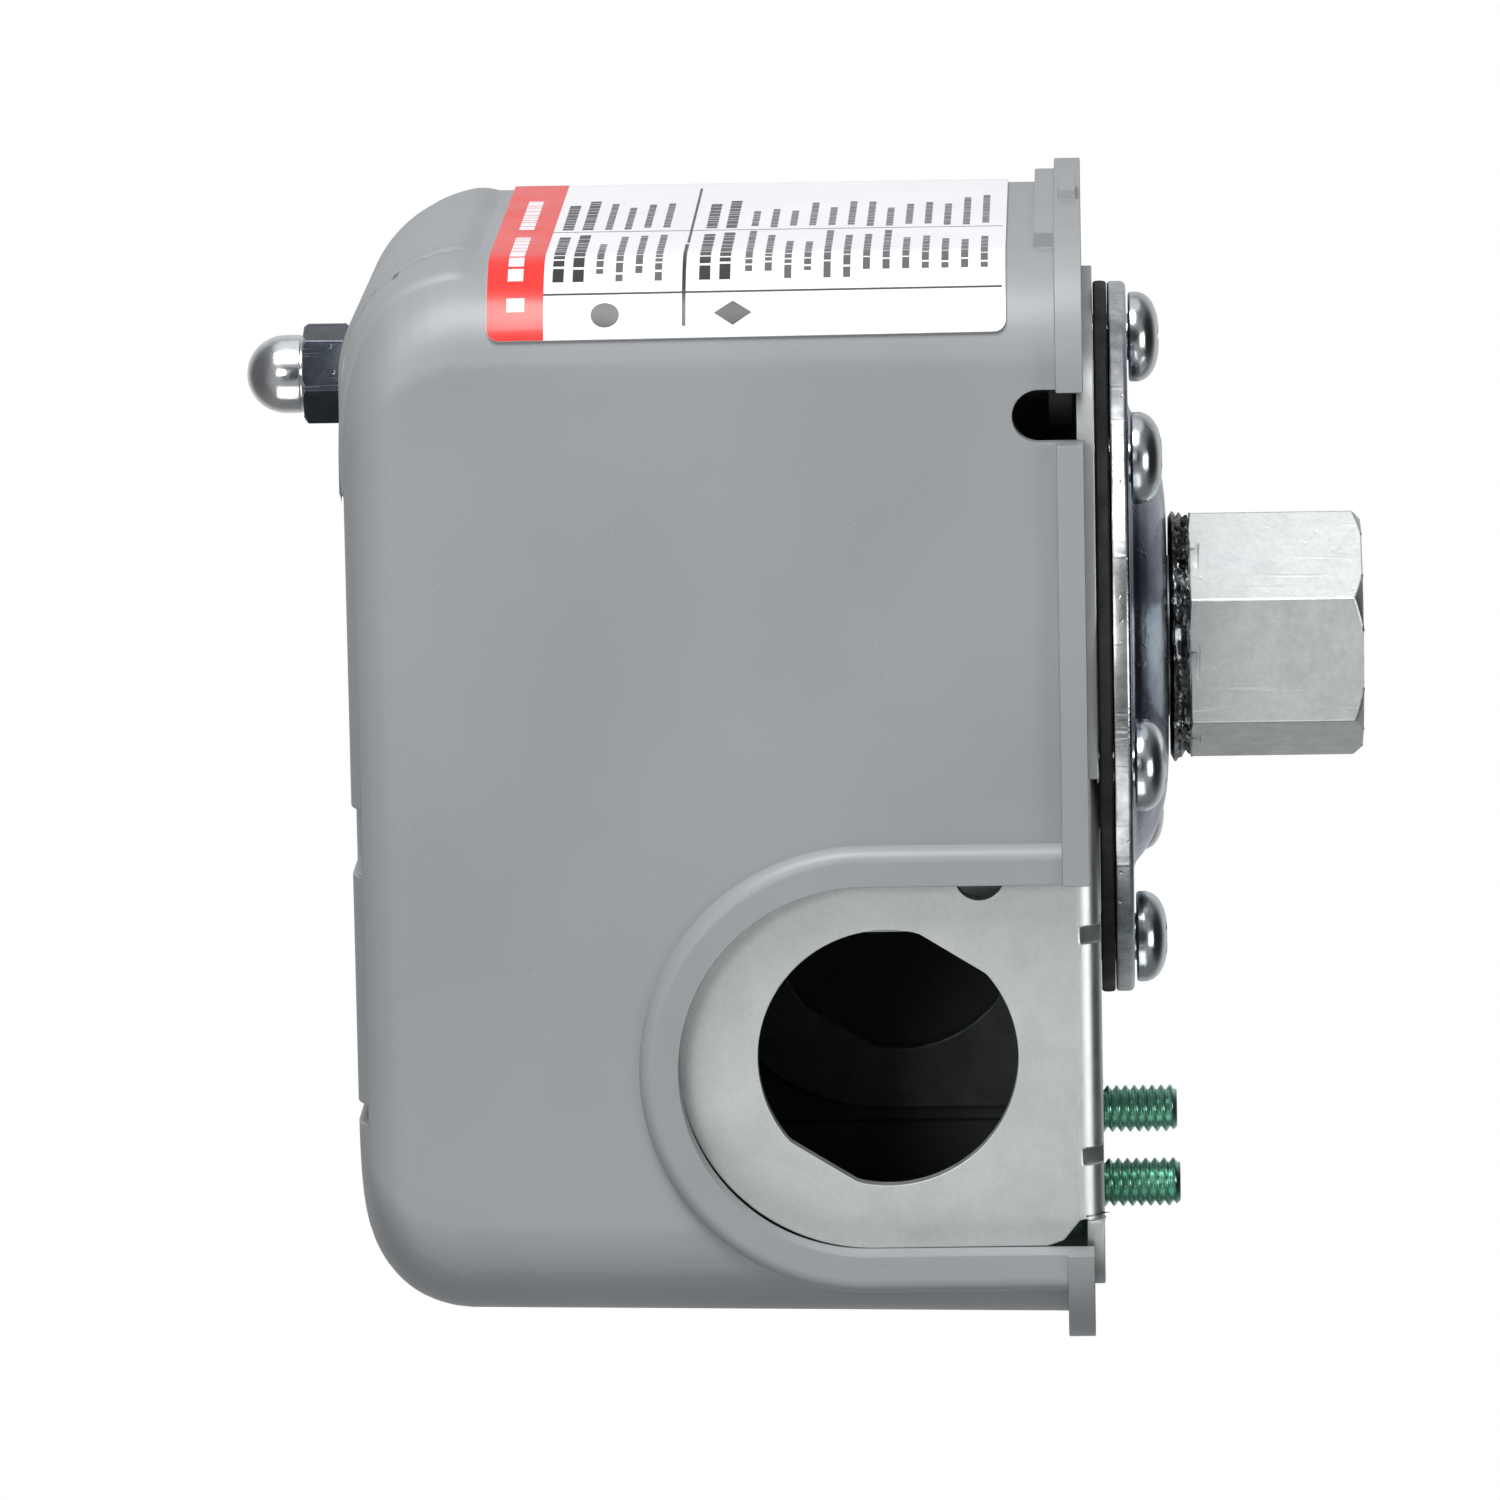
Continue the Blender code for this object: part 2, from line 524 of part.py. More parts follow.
# ---- acorn nut and range stud ---------------------------------------------------------
def build_acorn():
    rc = hex_r(NUT_AF)
    at = (STUD_X, 0)
    ob = cyl("acorn_nut", rc, at, NUT_Z0, NUT_Z0 + NUT_HEX_H, ZINC_B, seg=6, turn=NUT_TURN)
    z = NUT_Z0
    boolean(ob, turned("acorn_chamfer", [(0, z + NUT_HEX_H + 0.3), (rc - 0.5, z + NUT_HEX_H + 0.1), (rc + 0.15, z + NUT_HEX_H - 0.5),
                                         (rc + 0.15, z + 0.45), (rc - 0.45, z - 0.02), (0, z - 0.02)], at, cutter=True, seg=24),
            'INTERSECT')
    r = 3.4
    c = z + NUT_H - r
    prof = [(r * math.sin(math.radians(a)), c + r * math.cos(math.radians(a))) for a in range(0, 91, 18)]
    prof[0] = (0, c + r)
    prof += [(r, z + NUT_HEX_H - 0.4), (0, z + NUT_HEX_H - 0.4)]
    join(ob, turned("acorn_dome", prof, at, cutter=True, seg=20))
    cut(ob, turned("acorn_bore", [(0, z + 6.2), (STUD_R_HIGH + 0.3, z + 5.6), (STUD_R_HIGH + 0.3, z - 1), (0, z - 1)], at, cutter=True, seg=14))
    return ob


def build_range_stud():
    return turned("range_stud", [(0, 92.6), (STUD_R_HIGH - 0.35, 92.6), (STUD_R_HIGH, 92.1), (STUD_R_HIGH, 79.0),
                                 (STUD_R_LOW, 78.2), (STUD_R_LOW, 27.0), (5.4, 27.0), (5.4, BASE_Z1 + GAP), (2.6, BASE_Z1 + GAP),
                                 (2.6, BASE_Z0 + 0.2), (0, BASE_Z0 + 0.2)], (STUD_X, 0), ZINC, seg=16)


def build_diff_stud():
    return turned("differential_stud", [(0, 66.0), (1.55, 66.0), (1.95, 65.5), (1.95, 26.4), (3.6, 26.4), (3.6, BASE_Z1 + GAP),
                                        (1.9, BASE_Z1 + GAP), (1.9, BASE_Z0 + 0.2), (0, BASE_Z0 + 0.2)], (DIFF_X, DIFF_Y), ZINC, seg=14)


def build_seat(name, at, r, boss, hole, z, h):
    """Turned spring seat: a disc with a boss that centres the spring."""
    prof = [(r, z + 1.3), (r, z), (boss, z), (boss - 0.3, z - h), (hole, z - h), (hole, z + 2.2), (hole + 1.6, z + 2.2), (hole + 2.4, z + 1.3)]
    return turned(name, prof, at, ZINC, seg=20, closed=True)


def build_hex_nut(name, at, af, z0, h, hole, turn):
    rc = hex_r(af)
    ob = cyl(name, rc, at, z0, z0 + h, ZINC, seg=6, turn=turn)
    boolean(ob, turned(name + "_chamfer", [(0, z0 + h + 0.02), (rc - 0.6, z0 + h + 0.02), (rc + 0.2, z0 + h - 0.55), (rc + 0.2, z0 + 0.55),
                                           (rc - 0.6, z0 - 0.02), (0, z0 - 0.02)], at, cutter=True, seg=24), 'INTERSECT')
    cut(ob, cyl(name + "_bore", hole, at, z0 - 2, z0 + h + 2, cutter=True, seg=16))
    return ob


# ---- lever, plunger and rod -----------------------------------------------------------
def build_plunger():
    return turned("plunger", [(0, LEV_Z0 - GAP), (3.4, LEV_Z0 - GAP), (4.0, LEV_Z0 - GAP - 0.6), (4.0, 25.6), (8.6, 25.6),
                              (8.6, DIA_Z1 + GAP), (0, DIA_Z1 + GAP)], mat=BLACK, seg=24)


def build_lever():
    plan = [(-20.0, -11.0), (32.0, -11.0), (33.0, -10.0), (33.0, 10.0), (29.5, 14.0), (29.0, 22.5), (26.5, 25.5),
            (15.0, 25.5), (12.5, 23.0), (12.5, 11.0), (-20.0, 11.0)]
    ob = extruded("pressure_lever", plan, LEV_Z0, LEV_Z1, ZINC, plane='XY')
    side = [(-20.2, LEV_Z0 + 0.05), (11.0, LEV_Z0 + 0.05), (13.0, LEV_Z0 + 1.4), (9.0, 34.4), (-12.0, 37.0), (-20.2, 37.0)]
    for tag, y in (("front", -11.0), ("back", 9.5)):
        join(ob, extruded("lever_rail_" + tag, side, y, y + 1.5, cutter=True))
    cut(ob, cyl("lever_pivot_hole", PIVOT_R + GAP, (PIVOT_X, PIVOT_Z), -16, 16, cutter=True, axis='Y', seg=16))
    bm = bmesh.new()
    add_cyl(bm, 4.6, (STUD_X, 0), 25, 40, seg=16)
    add_cyl(bm, 2.9, (DIFF_X, DIFF_Y), 25, 40, seg=12)
    cut(ob, from_bm("lever_holes", bm, cutter=True))
    return ob


# ---- contact gear ---------------------------------------------------------------------
def build_bracket():
    z = BLK_Z0 - GAP
    legs = [(-23.0, BASE_Z1 + GAP), (-23.0, BASE_Z1 + GAP + 1.5), (-16.0, BASE_Z1 + GAP + 1.5), (-16.0, z), (16.0, z),
            (16.0, BASE_Z1 + GAP + 1.5), (23.0, BASE_Z1 + GAP + 1.5), (23.0, BASE_Z1 + GAP), (14.5, BASE_Z1 + GAP),
            (14.5, z - 1.5), (-14.5, z - 1.5), (-14.5, BASE_Z1 + GAP)]
    ob = extruded("block_bracket", [(-y, zz) for y, zz in legs], -11.0, 11.0, ZINC, plane='XZ')
    ob.data.transform(Matrix.Rotation(math.pi / 2, 4, 'Z'))
    ob.data.transform(Matrix.Translation((-12.0 * MM, 0, 0)))
    cut(ob, box("bracket_window", (-21.0, -18.0, 30.0), (-3.0, 18.0, 44.5), cutter=True))
    for k, x in enumerate((-18.5, -7.5)):
        cut(ob, cyl("bracket_hole_%d" % k, 1.9, (x, 0), BLK_Z0 - 6, BLK_Z0 + 4, cutter=True, seg=16))
    return ob


TERMINAL_Y = (-18.4, -7.6, 7.6, 18.4)


def build_block():
    bm = bmesh.new()
    add_box(bm, (BLK_X0, -BLK_Y, BLK_Z0), (BLK_X1, BLK_Y, BLK_Z1))
    ob = from_bm("contact_block", bm, BLACK)
    bev = ob.modifiers.new("edges", 'BEVEL')
    bev.width = 0.8 * MM
    bev.segments = 1
    bev.limit_method = 'ANGLE'
    for k, (y, x1) in enumerate(((-24.3, -2.2), (-13.0, -13.0), (0.0, -2.2), (13.0, -13.0), (24.3, -2.2))):
        join(ob, box("barrier_%d" % k, (BLK_X0 + 0.2, y - 0.65, BLK_Z1 - 1), (x1, y + 0.65, BLK_Z1 + 6.4), cutter=True))
    for tag, y in (("front", -24.9), ("back", 23.2)):
        join(ob, extruded("cheek_" + tag, [(BLK_X1 - 2, 56.5), (4.0, 56.5), (9.5, 59.0), (10.5, 62.0), (9.5, 65.0), (5.5, 67.0), (BLK_X1 - 2, 68.5)],
                          y, y + 1.7, cutter=True))
    bm = bmesh.new()
    for y in TERMINAL_Y:
        add_cyl(bm, 2.0, (-18.0, y), BLK_Z1 - 7.0, BLK_Z1 + 8, seg=10)
    # bolt holes for the two fixing screws
    for x in (-18.5, -7.5):
        add_cyl(bm, 1.9, (x, 0), BLK_Z0 - 4, BLK_Z1 + 2, seg=10)
    cut(ob, from_bm("block_holes", bm, cutter=True))
    for k, x in enumerate((-18.5, -7.5)):
        cut(ob, cyl("block_counterbore_%d" % k, 3.5, (x, 0), BLK_Z1 - 0.5, BLK_Z1 + 12, cutter=True, seg=16))
    cut(ob, cyl("cheek_holes", ROCK_R + GAP, (ROCK_X, ROCK_Z), -28, 28, cutter=True, axis='Y', seg=16))
    cut(ob, box("block_core", (BLK_X0 + 3.0, -22.0, BLK_Z0 - 2), (BLK_X1 - 3.0, -3.6, BLK_Z1 - 8.5), cutter=True),
        box("block_core_b", (BLK_X0 + 3.0, 3.6, BLK_Z0 - 2), (BLK_X1 - 3.0, 22.0, BLK_Z1 - 8.5), cutter=True))
    return ob


def build_terminal_strip(name, y):
    """Brass terminal strip with its fixed contact button."""
    ob = box(name, (-23.0, y - 3.8, BLK_Z1 + GAP), (-4.0, y + 3.8, BLK_Z1 + GAP + 1.2), BRASS)
    join(ob, cyl(name + "_button", 2.3, (-8.8, y), BLK_Z1 + 1.0, BLK_Z1 + GAP + 2.1, cutter=True, seg=16))
    cut(ob, cyl(name + "_hole", 2.1, (-18.0, y), BLK_Z1 - 2, BLK_Z1 + 4, cutter=True, seg=16))
    return ob


def build_terminal_screw(name, y):
    z = BLK_Z1 + GAP + 1.2 + GAP
    ob = ring_stack(name, (-18.0, y), [(1.7, BLK_Z1 - 6.0), (1.7, z), (3.7, z), (3.7, z + 1.3), (3.0, z + 2.1)], ZINC_B)
    cut(ob, box(name + "_slot", (-22.5, y - 0.4, z + 1.0), (-13.5, y + 0.4, z + 4), cutter=True))
    return ob


def build_block_screw(name, x):
    """Screw that holds the contact block down on its bracket."""
    ob = ring_stack(name, (x, 0.0), [(1.6, BLK_Z0 - 5.2), (1.6, BLK_Z1 - 0.2), (3.0, BLK_Z1 - 0.2), (3.0, BLK_Z1 + 1.2),
                                     (2.4, BLK_Z1 + 1.8)], ZINC_B)
    cut(ob, box(name + "_slot", (x - 5, -0.35, BLK_Z1 + 1.0), (x + 5, 0.35, BLK_Z1 + 4), cutter=True))
    return ob


def build_carrier():
    """Moulded rocker that carries the moving contact bars."""
    ob = box("contact_carrier", (4.2, -22.8, 59.6), (9.8, 22.8, 70.0), BLACK)
    for tag, y in (("front", -13.0), ("back", 13.0)):
        join(ob, extruded("finger_" + tag, [(5.0, 68.0), (9.0, 68.0), (9.0, 75.0), (6.0, 78.2), (-11.6, 78.2), (-11.6, 75.4), (2.5, 75.4), (5.0, 72.8)],
                          y - 2.6, y + 2.6, cutter=True))
    join(ob, box("carrier_nose", (-0.7, -3.6, 60.0), (5.0, 3.6, 63.4), cutter=True),
         box("carrier_tail", (9.0, -3.6, 60.4), (14.2, 3.6, 63.0), cutter=True))
    cut(ob, cyl("carrier_bore", ROCK_R + GAP, (ROCK_X, ROCK_Z), -28, 28, cutter=True, axis='Y', seg=16))
    return ob


def build_bridge(name, y):
    """Contact bar that closes one pole across two fixed buttons."""
    ob = box(name, (-11.2, y - 8.0, 73.3), (-6.4, y + 8.0, 74.3), COPPER)
    for k, yy in enumerate((y - 5.4, y + 5.4)):
        join(ob, cyl("%s_button_%d" % (name, k), 2.2, (-8.8, yy), BLK_Z1 + GAP + 2.1 + GAP, 73.5, cutter=True, seg=16))
    join(ob, cyl(name + "_rivet", 1.3, (-8.8, y), 74.0, 75.1, cutter=True, seg=12))
    return ob


# ---- build ----------------------------------------------------------------------------
build_fitting()
build_plate()
build_diaphragm()
for k, az in enumerate(screw_azimuths()):
    build_flange_screw("flange_screw_%d" % (k + 1), az)
build_base()
build_ground_screw("ground_screw_1", -15.6)
build_ground_screw("ground_screw_2", 15.6)
build_cover()
build_label()
build_acorn()
build_range_stud()
build_diff_stud()

stud_at, diff_at = (STUD_X, 0.0), (DIFF_X, DIFF_Y)
build_seat("range_spring_seat", stud_at, 9.3, RANGE_R - RANGE_WIRE - GAP, STUD_R_LOW + GAP, SEAT_Z, 2.2)
build_hex_nut("range_nut", stud_at, 12.7, SEAT_Z + 2.2 + GAP, 4.6, STUD_R_LOW + GAP, 12.0)
coil("range_spring", RANGE_R, RANGE_WIRE, LEV_Z1 + 1.6, SEAT_Z - GAP, 6.5, stud_at, SPRING, 11)
build_seat("differential_spring_seat", diff_at, 5.3, DIFF_R - DIFF_WIRE - GAP, 2.25, DIFF_SEAT_Z, 1.2)
build_hex_nut("differential_nut", diff_at, 8.7, DIFF_SEAT_Z + 2.2 + GAP, 3.4, 1.95 + GAP, 25.0)
coil("differential_spring", DIFF_R, DIFF_WIRE, LEV_Z1 + 1.6, DIFF_SEAT_Z - GAP, 6.5, diff_at, SPRING, 9)

build_plunger()
build_lever()
cyl("lever_pivot_pin", PIVOT_R, (PIVOT_X, PIVOT_Z), -14.2, 14.2, ZINC_B, axis='Y', seg=16)
cyl("push_rod", 1.5, (1.6, 0.0), LEV_Z1 + GAP, 59.6, BRASS, seg=16)
coil("toggle_spring", 2.6, 0.4, LEV_Z1 + GAP, 58.4, 8.0, (11.4, 0.0), SPRING, 8)

build_bracket()
build_block()
for k, y in enumerate(TERMINAL_Y):
    build_terminal_strip("terminal_strip_%d" % (k + 1), y)
    build_terminal_screw("terminal_screw_%d" % (k + 1), y)
build_block_screw("block_screw_1", -18.5)
build_block_screw("block_screw_2", -7.5)
build_carrier()
build_bridge("contact_bridge_1", -13.0)
build_bridge("contact_bridge_2", 13.0)
cyl("rocker_pin", ROCK_R, (ROCK_X, ROCK_Z), -25.6, 25.6, ZINC_B, axis='Y', seg=16)

# moving pieces get their origin on their joint's axis
ORIGINS = {"pressure_lever": (PIVOT_X, 0, PIVOT_Z), "contact_carrier": (ROCK_X, 0, ROCK_Z),
           "contact_bridge_1": (ROCK_X, 0, ROCK_Z), "contact_bridge_2": (ROCK_X, 0, ROCK_Z), "acorn_nut": (STUD_X, 0, NUT_Z0), "cover": (STUD_X, 0, COV_Z1),
           "range_nut": (STUD_X, 0, SEAT_Z), "differential_nut": (DIFF_X, DIFF_Y, DIFF_SEAT_Z)}
for name, at in ORIGINS.items():
    ob = bpy.data.objects[name]
    shift = Vector(at) * MM - ob.location
    ob.data.transform(Matrix.Translation(-shift))
    ob.location = ob.location + shift

for ob in PARTS.objects:
    if ob.type == 'MESH':
        ob.data.polygons.foreach_set("use_smooth", [True] * len(ob.data.polygons))
        if len(ob.data.polygons):
            ob.data.set_sharp_from_angle(angle=math.radians(35))
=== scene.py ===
"""Visual model of the pressure switch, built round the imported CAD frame.

Dimensions are in millimetres and the scene is in metres, in the CAD model's own axes:
+Z from the pipe fitting to the acorn nut, +X towards the spring end, conduit flange at -Y.
"""
import bpy
import bmesh
import json
import math
import random
from mathutils import Matrix, Vector, noise

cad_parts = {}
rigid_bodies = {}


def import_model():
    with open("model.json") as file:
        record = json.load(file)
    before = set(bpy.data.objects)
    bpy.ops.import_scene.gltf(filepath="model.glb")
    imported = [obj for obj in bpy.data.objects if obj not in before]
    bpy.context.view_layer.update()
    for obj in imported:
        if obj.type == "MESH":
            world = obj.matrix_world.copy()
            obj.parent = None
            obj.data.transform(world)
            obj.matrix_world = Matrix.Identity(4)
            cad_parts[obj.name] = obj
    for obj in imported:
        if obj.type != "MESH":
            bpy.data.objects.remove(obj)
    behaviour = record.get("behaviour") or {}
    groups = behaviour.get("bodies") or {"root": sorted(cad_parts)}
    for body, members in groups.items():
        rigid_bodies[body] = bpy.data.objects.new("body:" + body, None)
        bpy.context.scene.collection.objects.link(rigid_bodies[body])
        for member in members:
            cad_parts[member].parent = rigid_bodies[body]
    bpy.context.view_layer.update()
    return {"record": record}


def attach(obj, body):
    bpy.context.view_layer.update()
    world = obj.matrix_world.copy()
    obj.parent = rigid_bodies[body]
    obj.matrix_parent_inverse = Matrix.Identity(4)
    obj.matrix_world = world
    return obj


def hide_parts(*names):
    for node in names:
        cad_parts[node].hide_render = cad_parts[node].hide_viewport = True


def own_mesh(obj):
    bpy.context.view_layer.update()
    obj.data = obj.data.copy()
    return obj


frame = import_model()
random.seed(11)

MM = 0.001

# ---- driving dimensions, millimetres -------------------------------------------------
GAP = 0.3                      # air between neighbouring pieces

# pipe fitting
HEX_AF = 19.05                 # across flats, 3/4 in wrench
HEX_LEN = 15.0
HEX_TURN = 25.3                # turn of the hexagon from a corner at +Y, degrees
PIPE_BORE_R = 5.55             # 1/4 in pipe thread, drawn plain
PIPE_BORE_DEPTH = 13.5
FIT_COLLAR_R = 10.2
FIT_NECK_R = 7.0

# pressure end
FLANGE_R = 31.0
PLATE_Z0, PLATE_Z1 = 20.2, 21.8
DOME_R = 20.3
DOME_Z = 16.9                  # lowest outer face of the dome
DOME_T = 1.5
DIA_Z0, DIA_Z1 = 22.0, 22.85
SCREW_PCD_R = 26.3
SCREW_AZ = 14.65               # azimuth of the first screw, degrees
SCREW_COUNT = 6
SCREW_SHANK_R = 2.05
SCREW_HOLE_R = 2.4
PAN_R, PAN_H = 3.95, 2.7

# base frame
BASE_Z0, BASE_Z1 = 23.1, 24.6
BASE_X0, BASE_X1 = -52.6, 29.6
BASE_Y = 30.15
FLG_T = 1.5
FLG_X0, FLG_X1 = -47.8, -14.6  # upright conduit flange
FLG_XC, FLG_ZC = -31.2, 41.4
FLG_R = 16.6
FLG_AZ = 42.8                  # centre height of the flange's rounded end
CONDUIT_R = 11.1               # 1/2 in conduit knockout
CONDUIT_FLAT_R = 10.58         # centre to each chord flat
CONDUIT_FLAT = math.radians(148.1)
CONTROL_HOLE_R = 10.0          # hole in the base for the plunger

# cover
COV_T = 1.8
COV_Z0 = 24.0
COV_Z1 = 86.9
COV_X0, COV_X1 = -54.9, 37.1
COV_Y = 32.3
COV_DRAFT_X0, COV_DRAFT_Y = 1.2, 0.4   # loss of size from rim to roof
COV_RC = 9.0                   # upright corner radius
COV_R_HIGH, COV_R_LOW, COV_R_SIDE = 11.0, 9.5, 5.0   # roof edge radii: +X, -X, sides
LIP_Z1 = 26.3
LIP_OUT = 2.0
OPEN_XC, OPEN_ZC = -31.8, 43.2  # arched conduit opening
OPEN_R, RIM_R = 16.0, 18.6
RIM_OUT = 1.1
SLOT_X0, SLOT_X1, SLOT_Z1 = 21.9, 26.4, 30.0
BAND1_Y, BAND2_Y = 26.6, 18.8
BAND_STEP = 0.3

# cover stud and range spring
STUD_X = 24.2
STUD_R_LOW, STUD_R_HIGH = 3.1, 2.0
NUT_AF = 7.7
NUT_Z0, NUT_HEX_H, NUT_H = 87.8, 4.0, 9.0
NUT_TURN = 48.5                # turn of the nut's hexagon from a corner at +Y, degrees
RANGE_R, RANGE_WIRE = 7.9, 1.15
SEAT_Z = 62.3

# differential spring
DIFF_X, DIFF_Y = 20.5, 19.5
DIFF_R, DIFF_WIRE = 4.1, 0.6
DIFF_SEAT_Z = 52.3

# lever
LEV_Z0, LEV_Z1 = 30.6, 32.1
PIVOT_X, PIVOT_Z, PIVOT_R = -17.0, 34.0, 1.5

# contact gear
BLK_X0, BLK_X1, BLK_Y = -24.0, -2.0, 25.0
BLK_Z0, BLK_Z1 = 52.0, 69.5
ROCK_X, ROCK_Z, ROCK_R = 7.0, 62.0, 1.2



PARTS = bpy.data.collections.new("pressure_switch")
CUTS = bpy.data.collections.new("cutters")
bpy.context.scene.collection.children.link(PARTS)
bpy.context.scene.collection.children.link(CUTS)


def fine(seg):
    """Finer segment counts than the CAD model's; a hexagon stays a hexagon."""
    return seg if seg in (4, 6) else max(40, seg * 3)


# ---- materials ------------------------------------------------------------------------
class Nodes:
    """Small helper for building a Principled material from object-space textures."""

    def __init__(self, name, colour, rough, metal=0.0):
        self.mat = bpy.data.materials.new(name)
        self.mat.use_nodes = True
        self.nt = self.mat.node_tree
        self.bsdf = self.nt.nodes["Principled BSDF"]
        self.bsdf.inputs["Base Color"].default_value = (*colour, 1.0)
        self.bsdf.inputs["Roughness"].default_value = rough
        self.bsdf.inputs["Metallic"].default_value = metal
        self.mat.diffuse_color = (*colour, 1.0)
        self.obj = self.nt.nodes.new("ShaderNodeTexCoord").outputs["Object"]
        self.height = None

    def link(self, a, b):
        self.nt.links.new(a, b)

    def stretch(self, scale, rot=(0, 0, 0)):
        m = self.nt.nodes.new("ShaderNodeMapping")
        m.inputs["Scale"].default_value = scale
        m.inputs["Rotation"].default_value = rot
        self.link(self.obj, m.inputs["Vector"])
        return m.outputs["Vector"]

    def noise(self, scale, detail=4.0, rough=0.55, vec=None, distort=0.0):
        n = self.nt.nodes.new("ShaderNodeTexNoise")
        n.inputs["Scale"].default_value = scale
        n.inputs["Detail"].default_value = detail
        n.inputs["Roughness"].default_value = rough
        n.inputs["Distortion"].default_value = distort
        self.link(vec if vec is not None else self.obj, n.inputs["Vector"])
        return n.outputs["Fac"]

    def voronoi(self, scale, vec=None, feature='F1', out="Distance"):
        n = self.nt.nodes.new("ShaderNodeTexVoronoi")
        n.feature = feature
        n.inputs["Scale"].default_value = scale
        self.link(vec if vec is not None else self.obj, n.inputs["Vector"])
        return n.outputs[out]

    def ramp(self, fac, stops):
        r = self.nt.nodes.new("ShaderNodeValToRGB")
        el = r.color_ramp.elements
        while len(el) < len(stops):
            el.new(0.5)
        for e, (pos, col) in zip(el, stops):
            e.position = pos
            e.color = (*col, 1.0) if len(col) == 3 else col
        self.link(fac, r.inputs["Fac"])
        return r.outputs["Color"]

    def span(self, fac, lo, hi, out_lo, out_hi):
        m = self.nt.nodes.new("ShaderNodeMapRange")
        m.inputs["From Min"].default_value = lo
        m.inputs["From Max"].default_value = hi
        m.inputs["To Min"].default_value = out_lo
        m.inputs["To Max"].default_value = out_hi
        self.link(fac, m.inputs["Value"])
        return m.outputs["Result"]

    def math(self, op, a, b):
        m = self.nt.nodes.new("ShaderNodeMath")
        m.operation = op
        for k, v in enumerate((a, b)):
            if isinstance(v, (int, float)):
                m.inputs[k].default_value = v
            else:
                self.link(v, m.inputs[k])
        return m.outputs[0]

    def mix(self, fac, a, b, mode='MIX'):
        m = self.nt.nodes.new("ShaderNodeMix")
        m.data_type = 'RGBA'
        m.blend_type = mode
        for sock, v in ((m.inputs[0], fac), (m.inputs[6], a), (m.inputs[7], b)):
            if isinstance(v, (int, float)):
                sock.default_value = v
            elif isinstance(v, tuple):
                sock.default_value = (*v, 1.0)
            else:
                self.link(v, sock)
        return m.outputs[2]

    def colour(self, out):
        self.link(out, self.bsdf.inputs["Base Color"])

    def rough(self, out):
        self.link(out, self.bsdf.inputs["Roughness"])

    def bump(self, height, strength, distance):
        b = self.nt.nodes.new("ShaderNodeBump")
        b.inputs["Strength"].default_value = strength
        b.inputs["Distance"].default_value = distance
        self.link(height, b.inputs["Height"])
        if self.height is not None:
            self.link(self.height, b.inputs["Normal"])
        self.height = b.outputs["Normal"]
        self.link(self.height, self.bsdf.inputs["Normal"])


def moulded_plastic(name, dark, light, rough_lo, rough_hi, grain=0.05):
    m = Nodes(name, light, rough_lo)
    cloud = m.noise(38, 3, 0.5)
    base = m.mix(m.span(cloud, 0.35, 0.65, 0.0, 1.0), dark, light)
    # handling marks: a few soft dark smears that run across the draw of the mould
    smear = m.noise(26, 5, 0.62, m.stretch((1.0, 1.0, 0.35)), 0.6)
    base = m.mix(m.span(smear, 0.66, 0.78, 0.0, 0.16), base, tuple(c * 0.72 for c in dark))
    # pale specks of dust and flow
    speck = m.voronoi(420)
    base = m.mix(m.span(speck, 0.03, 0.055, 0.35, 0.0), base, tuple(min(1.0, c * 1.35) for c in light))
    m.colour(base)
    m.rough(m.span(m.noise(90, 4, 0.6), 0.3, 0.7, rough_lo, rough_hi))
    m.bump(m.noise(2600, 3, 0.6), grain, 0.00004)
    m.bump(m.noise(240, 3, 0.5), 0.10, 0.00006)
    return m.mat


def plated(name, dark, light, rough_lo, rough_hi, grain_scale=1500, grain=0.25, scratch=0.15, tint=None, pits=0.0, speckle=0.10):
    """Zinc-plated steel: faint spangle, fine grain, hair scratches and a thin passivation tint."""
    m = Nodes(name, light, rough_lo, 1.0)
    cloud = m.noise(160, 5, 0.6)
    base = m.mix(m.span(cloud, 0.32, 0.68, 0.0, 1.0), dark, light)
    if tint is not None:
        base = m.mix(m.span(m.noise(70, 4, 0.55, None, 0.8), 0.52, 0.72, 0.0, 0.75), base, tint)
    grainy = m.noise(grain_scale, 4, 0.7)
    base = m.mix(m.span(grainy, 0.35, 0.65, speckle, 0.0), base, tuple(c * 0.62 for c in dark))
    m.colour(base)
    m.rough(m.span(m.noise(grain_scale * 0.22, 4, 0.65), 0.3, 0.7, rough_lo, rough_hi))
    m.bump(grainy, grain, 0.00003)
    if scratch:
        a = m.noise(900, 2, 0.5, m.stretch((1.0, 1.0, 0.06), (0.25, 0.1, 0.0)), 0.2)
        m.bump(m.span(a, 0.60, 0.68, 0.0, 1.0), scratch, 0.00004)
    if pits:
        p = m.voronoi(620)
        m.bump(m.span(p, 0.05, 0.12, 0.0, 1.0), pits, 0.00005)
    return m.mat


def rubber_sheet(name):
    m = Nodes(name, (0.010, 0.010, 0.010), 0.62)
    base = m.mix(m.span(m.noise(900, 4, 0.6), 0.35, 0.65, 0.0, 1.0), (0.003, 0.003, 0.003), (0.013, 0.012, 0.012))
    m.colour(base)
    m.rough(m.span(m.noise(300, 3, 0.5), 0.3, 0.7, 0.5, 0.78))
    m.bump(m.noise(1800, 4, 0.6), 0.35, 0.00006)
    return m.mat


def film(name, light, dark, rough=0.32):
    """Printed film: faint haze and a slight orange peel."""
    m = Nodes(name, light, rough)
    m.colour(m.mix(m.span(m.noise(55, 4, 0.55), 0.3, 0.7, 0.0, 1.0), dark, light))
    m.rough(m.span(m.noise(160, 3, 0.5), 0.3, 0.7, rough * 0.85, rough * 1.2))
    m.bump(m.noise(500, 2, 0.5), 0.04, 0.00003)
    return m.mat


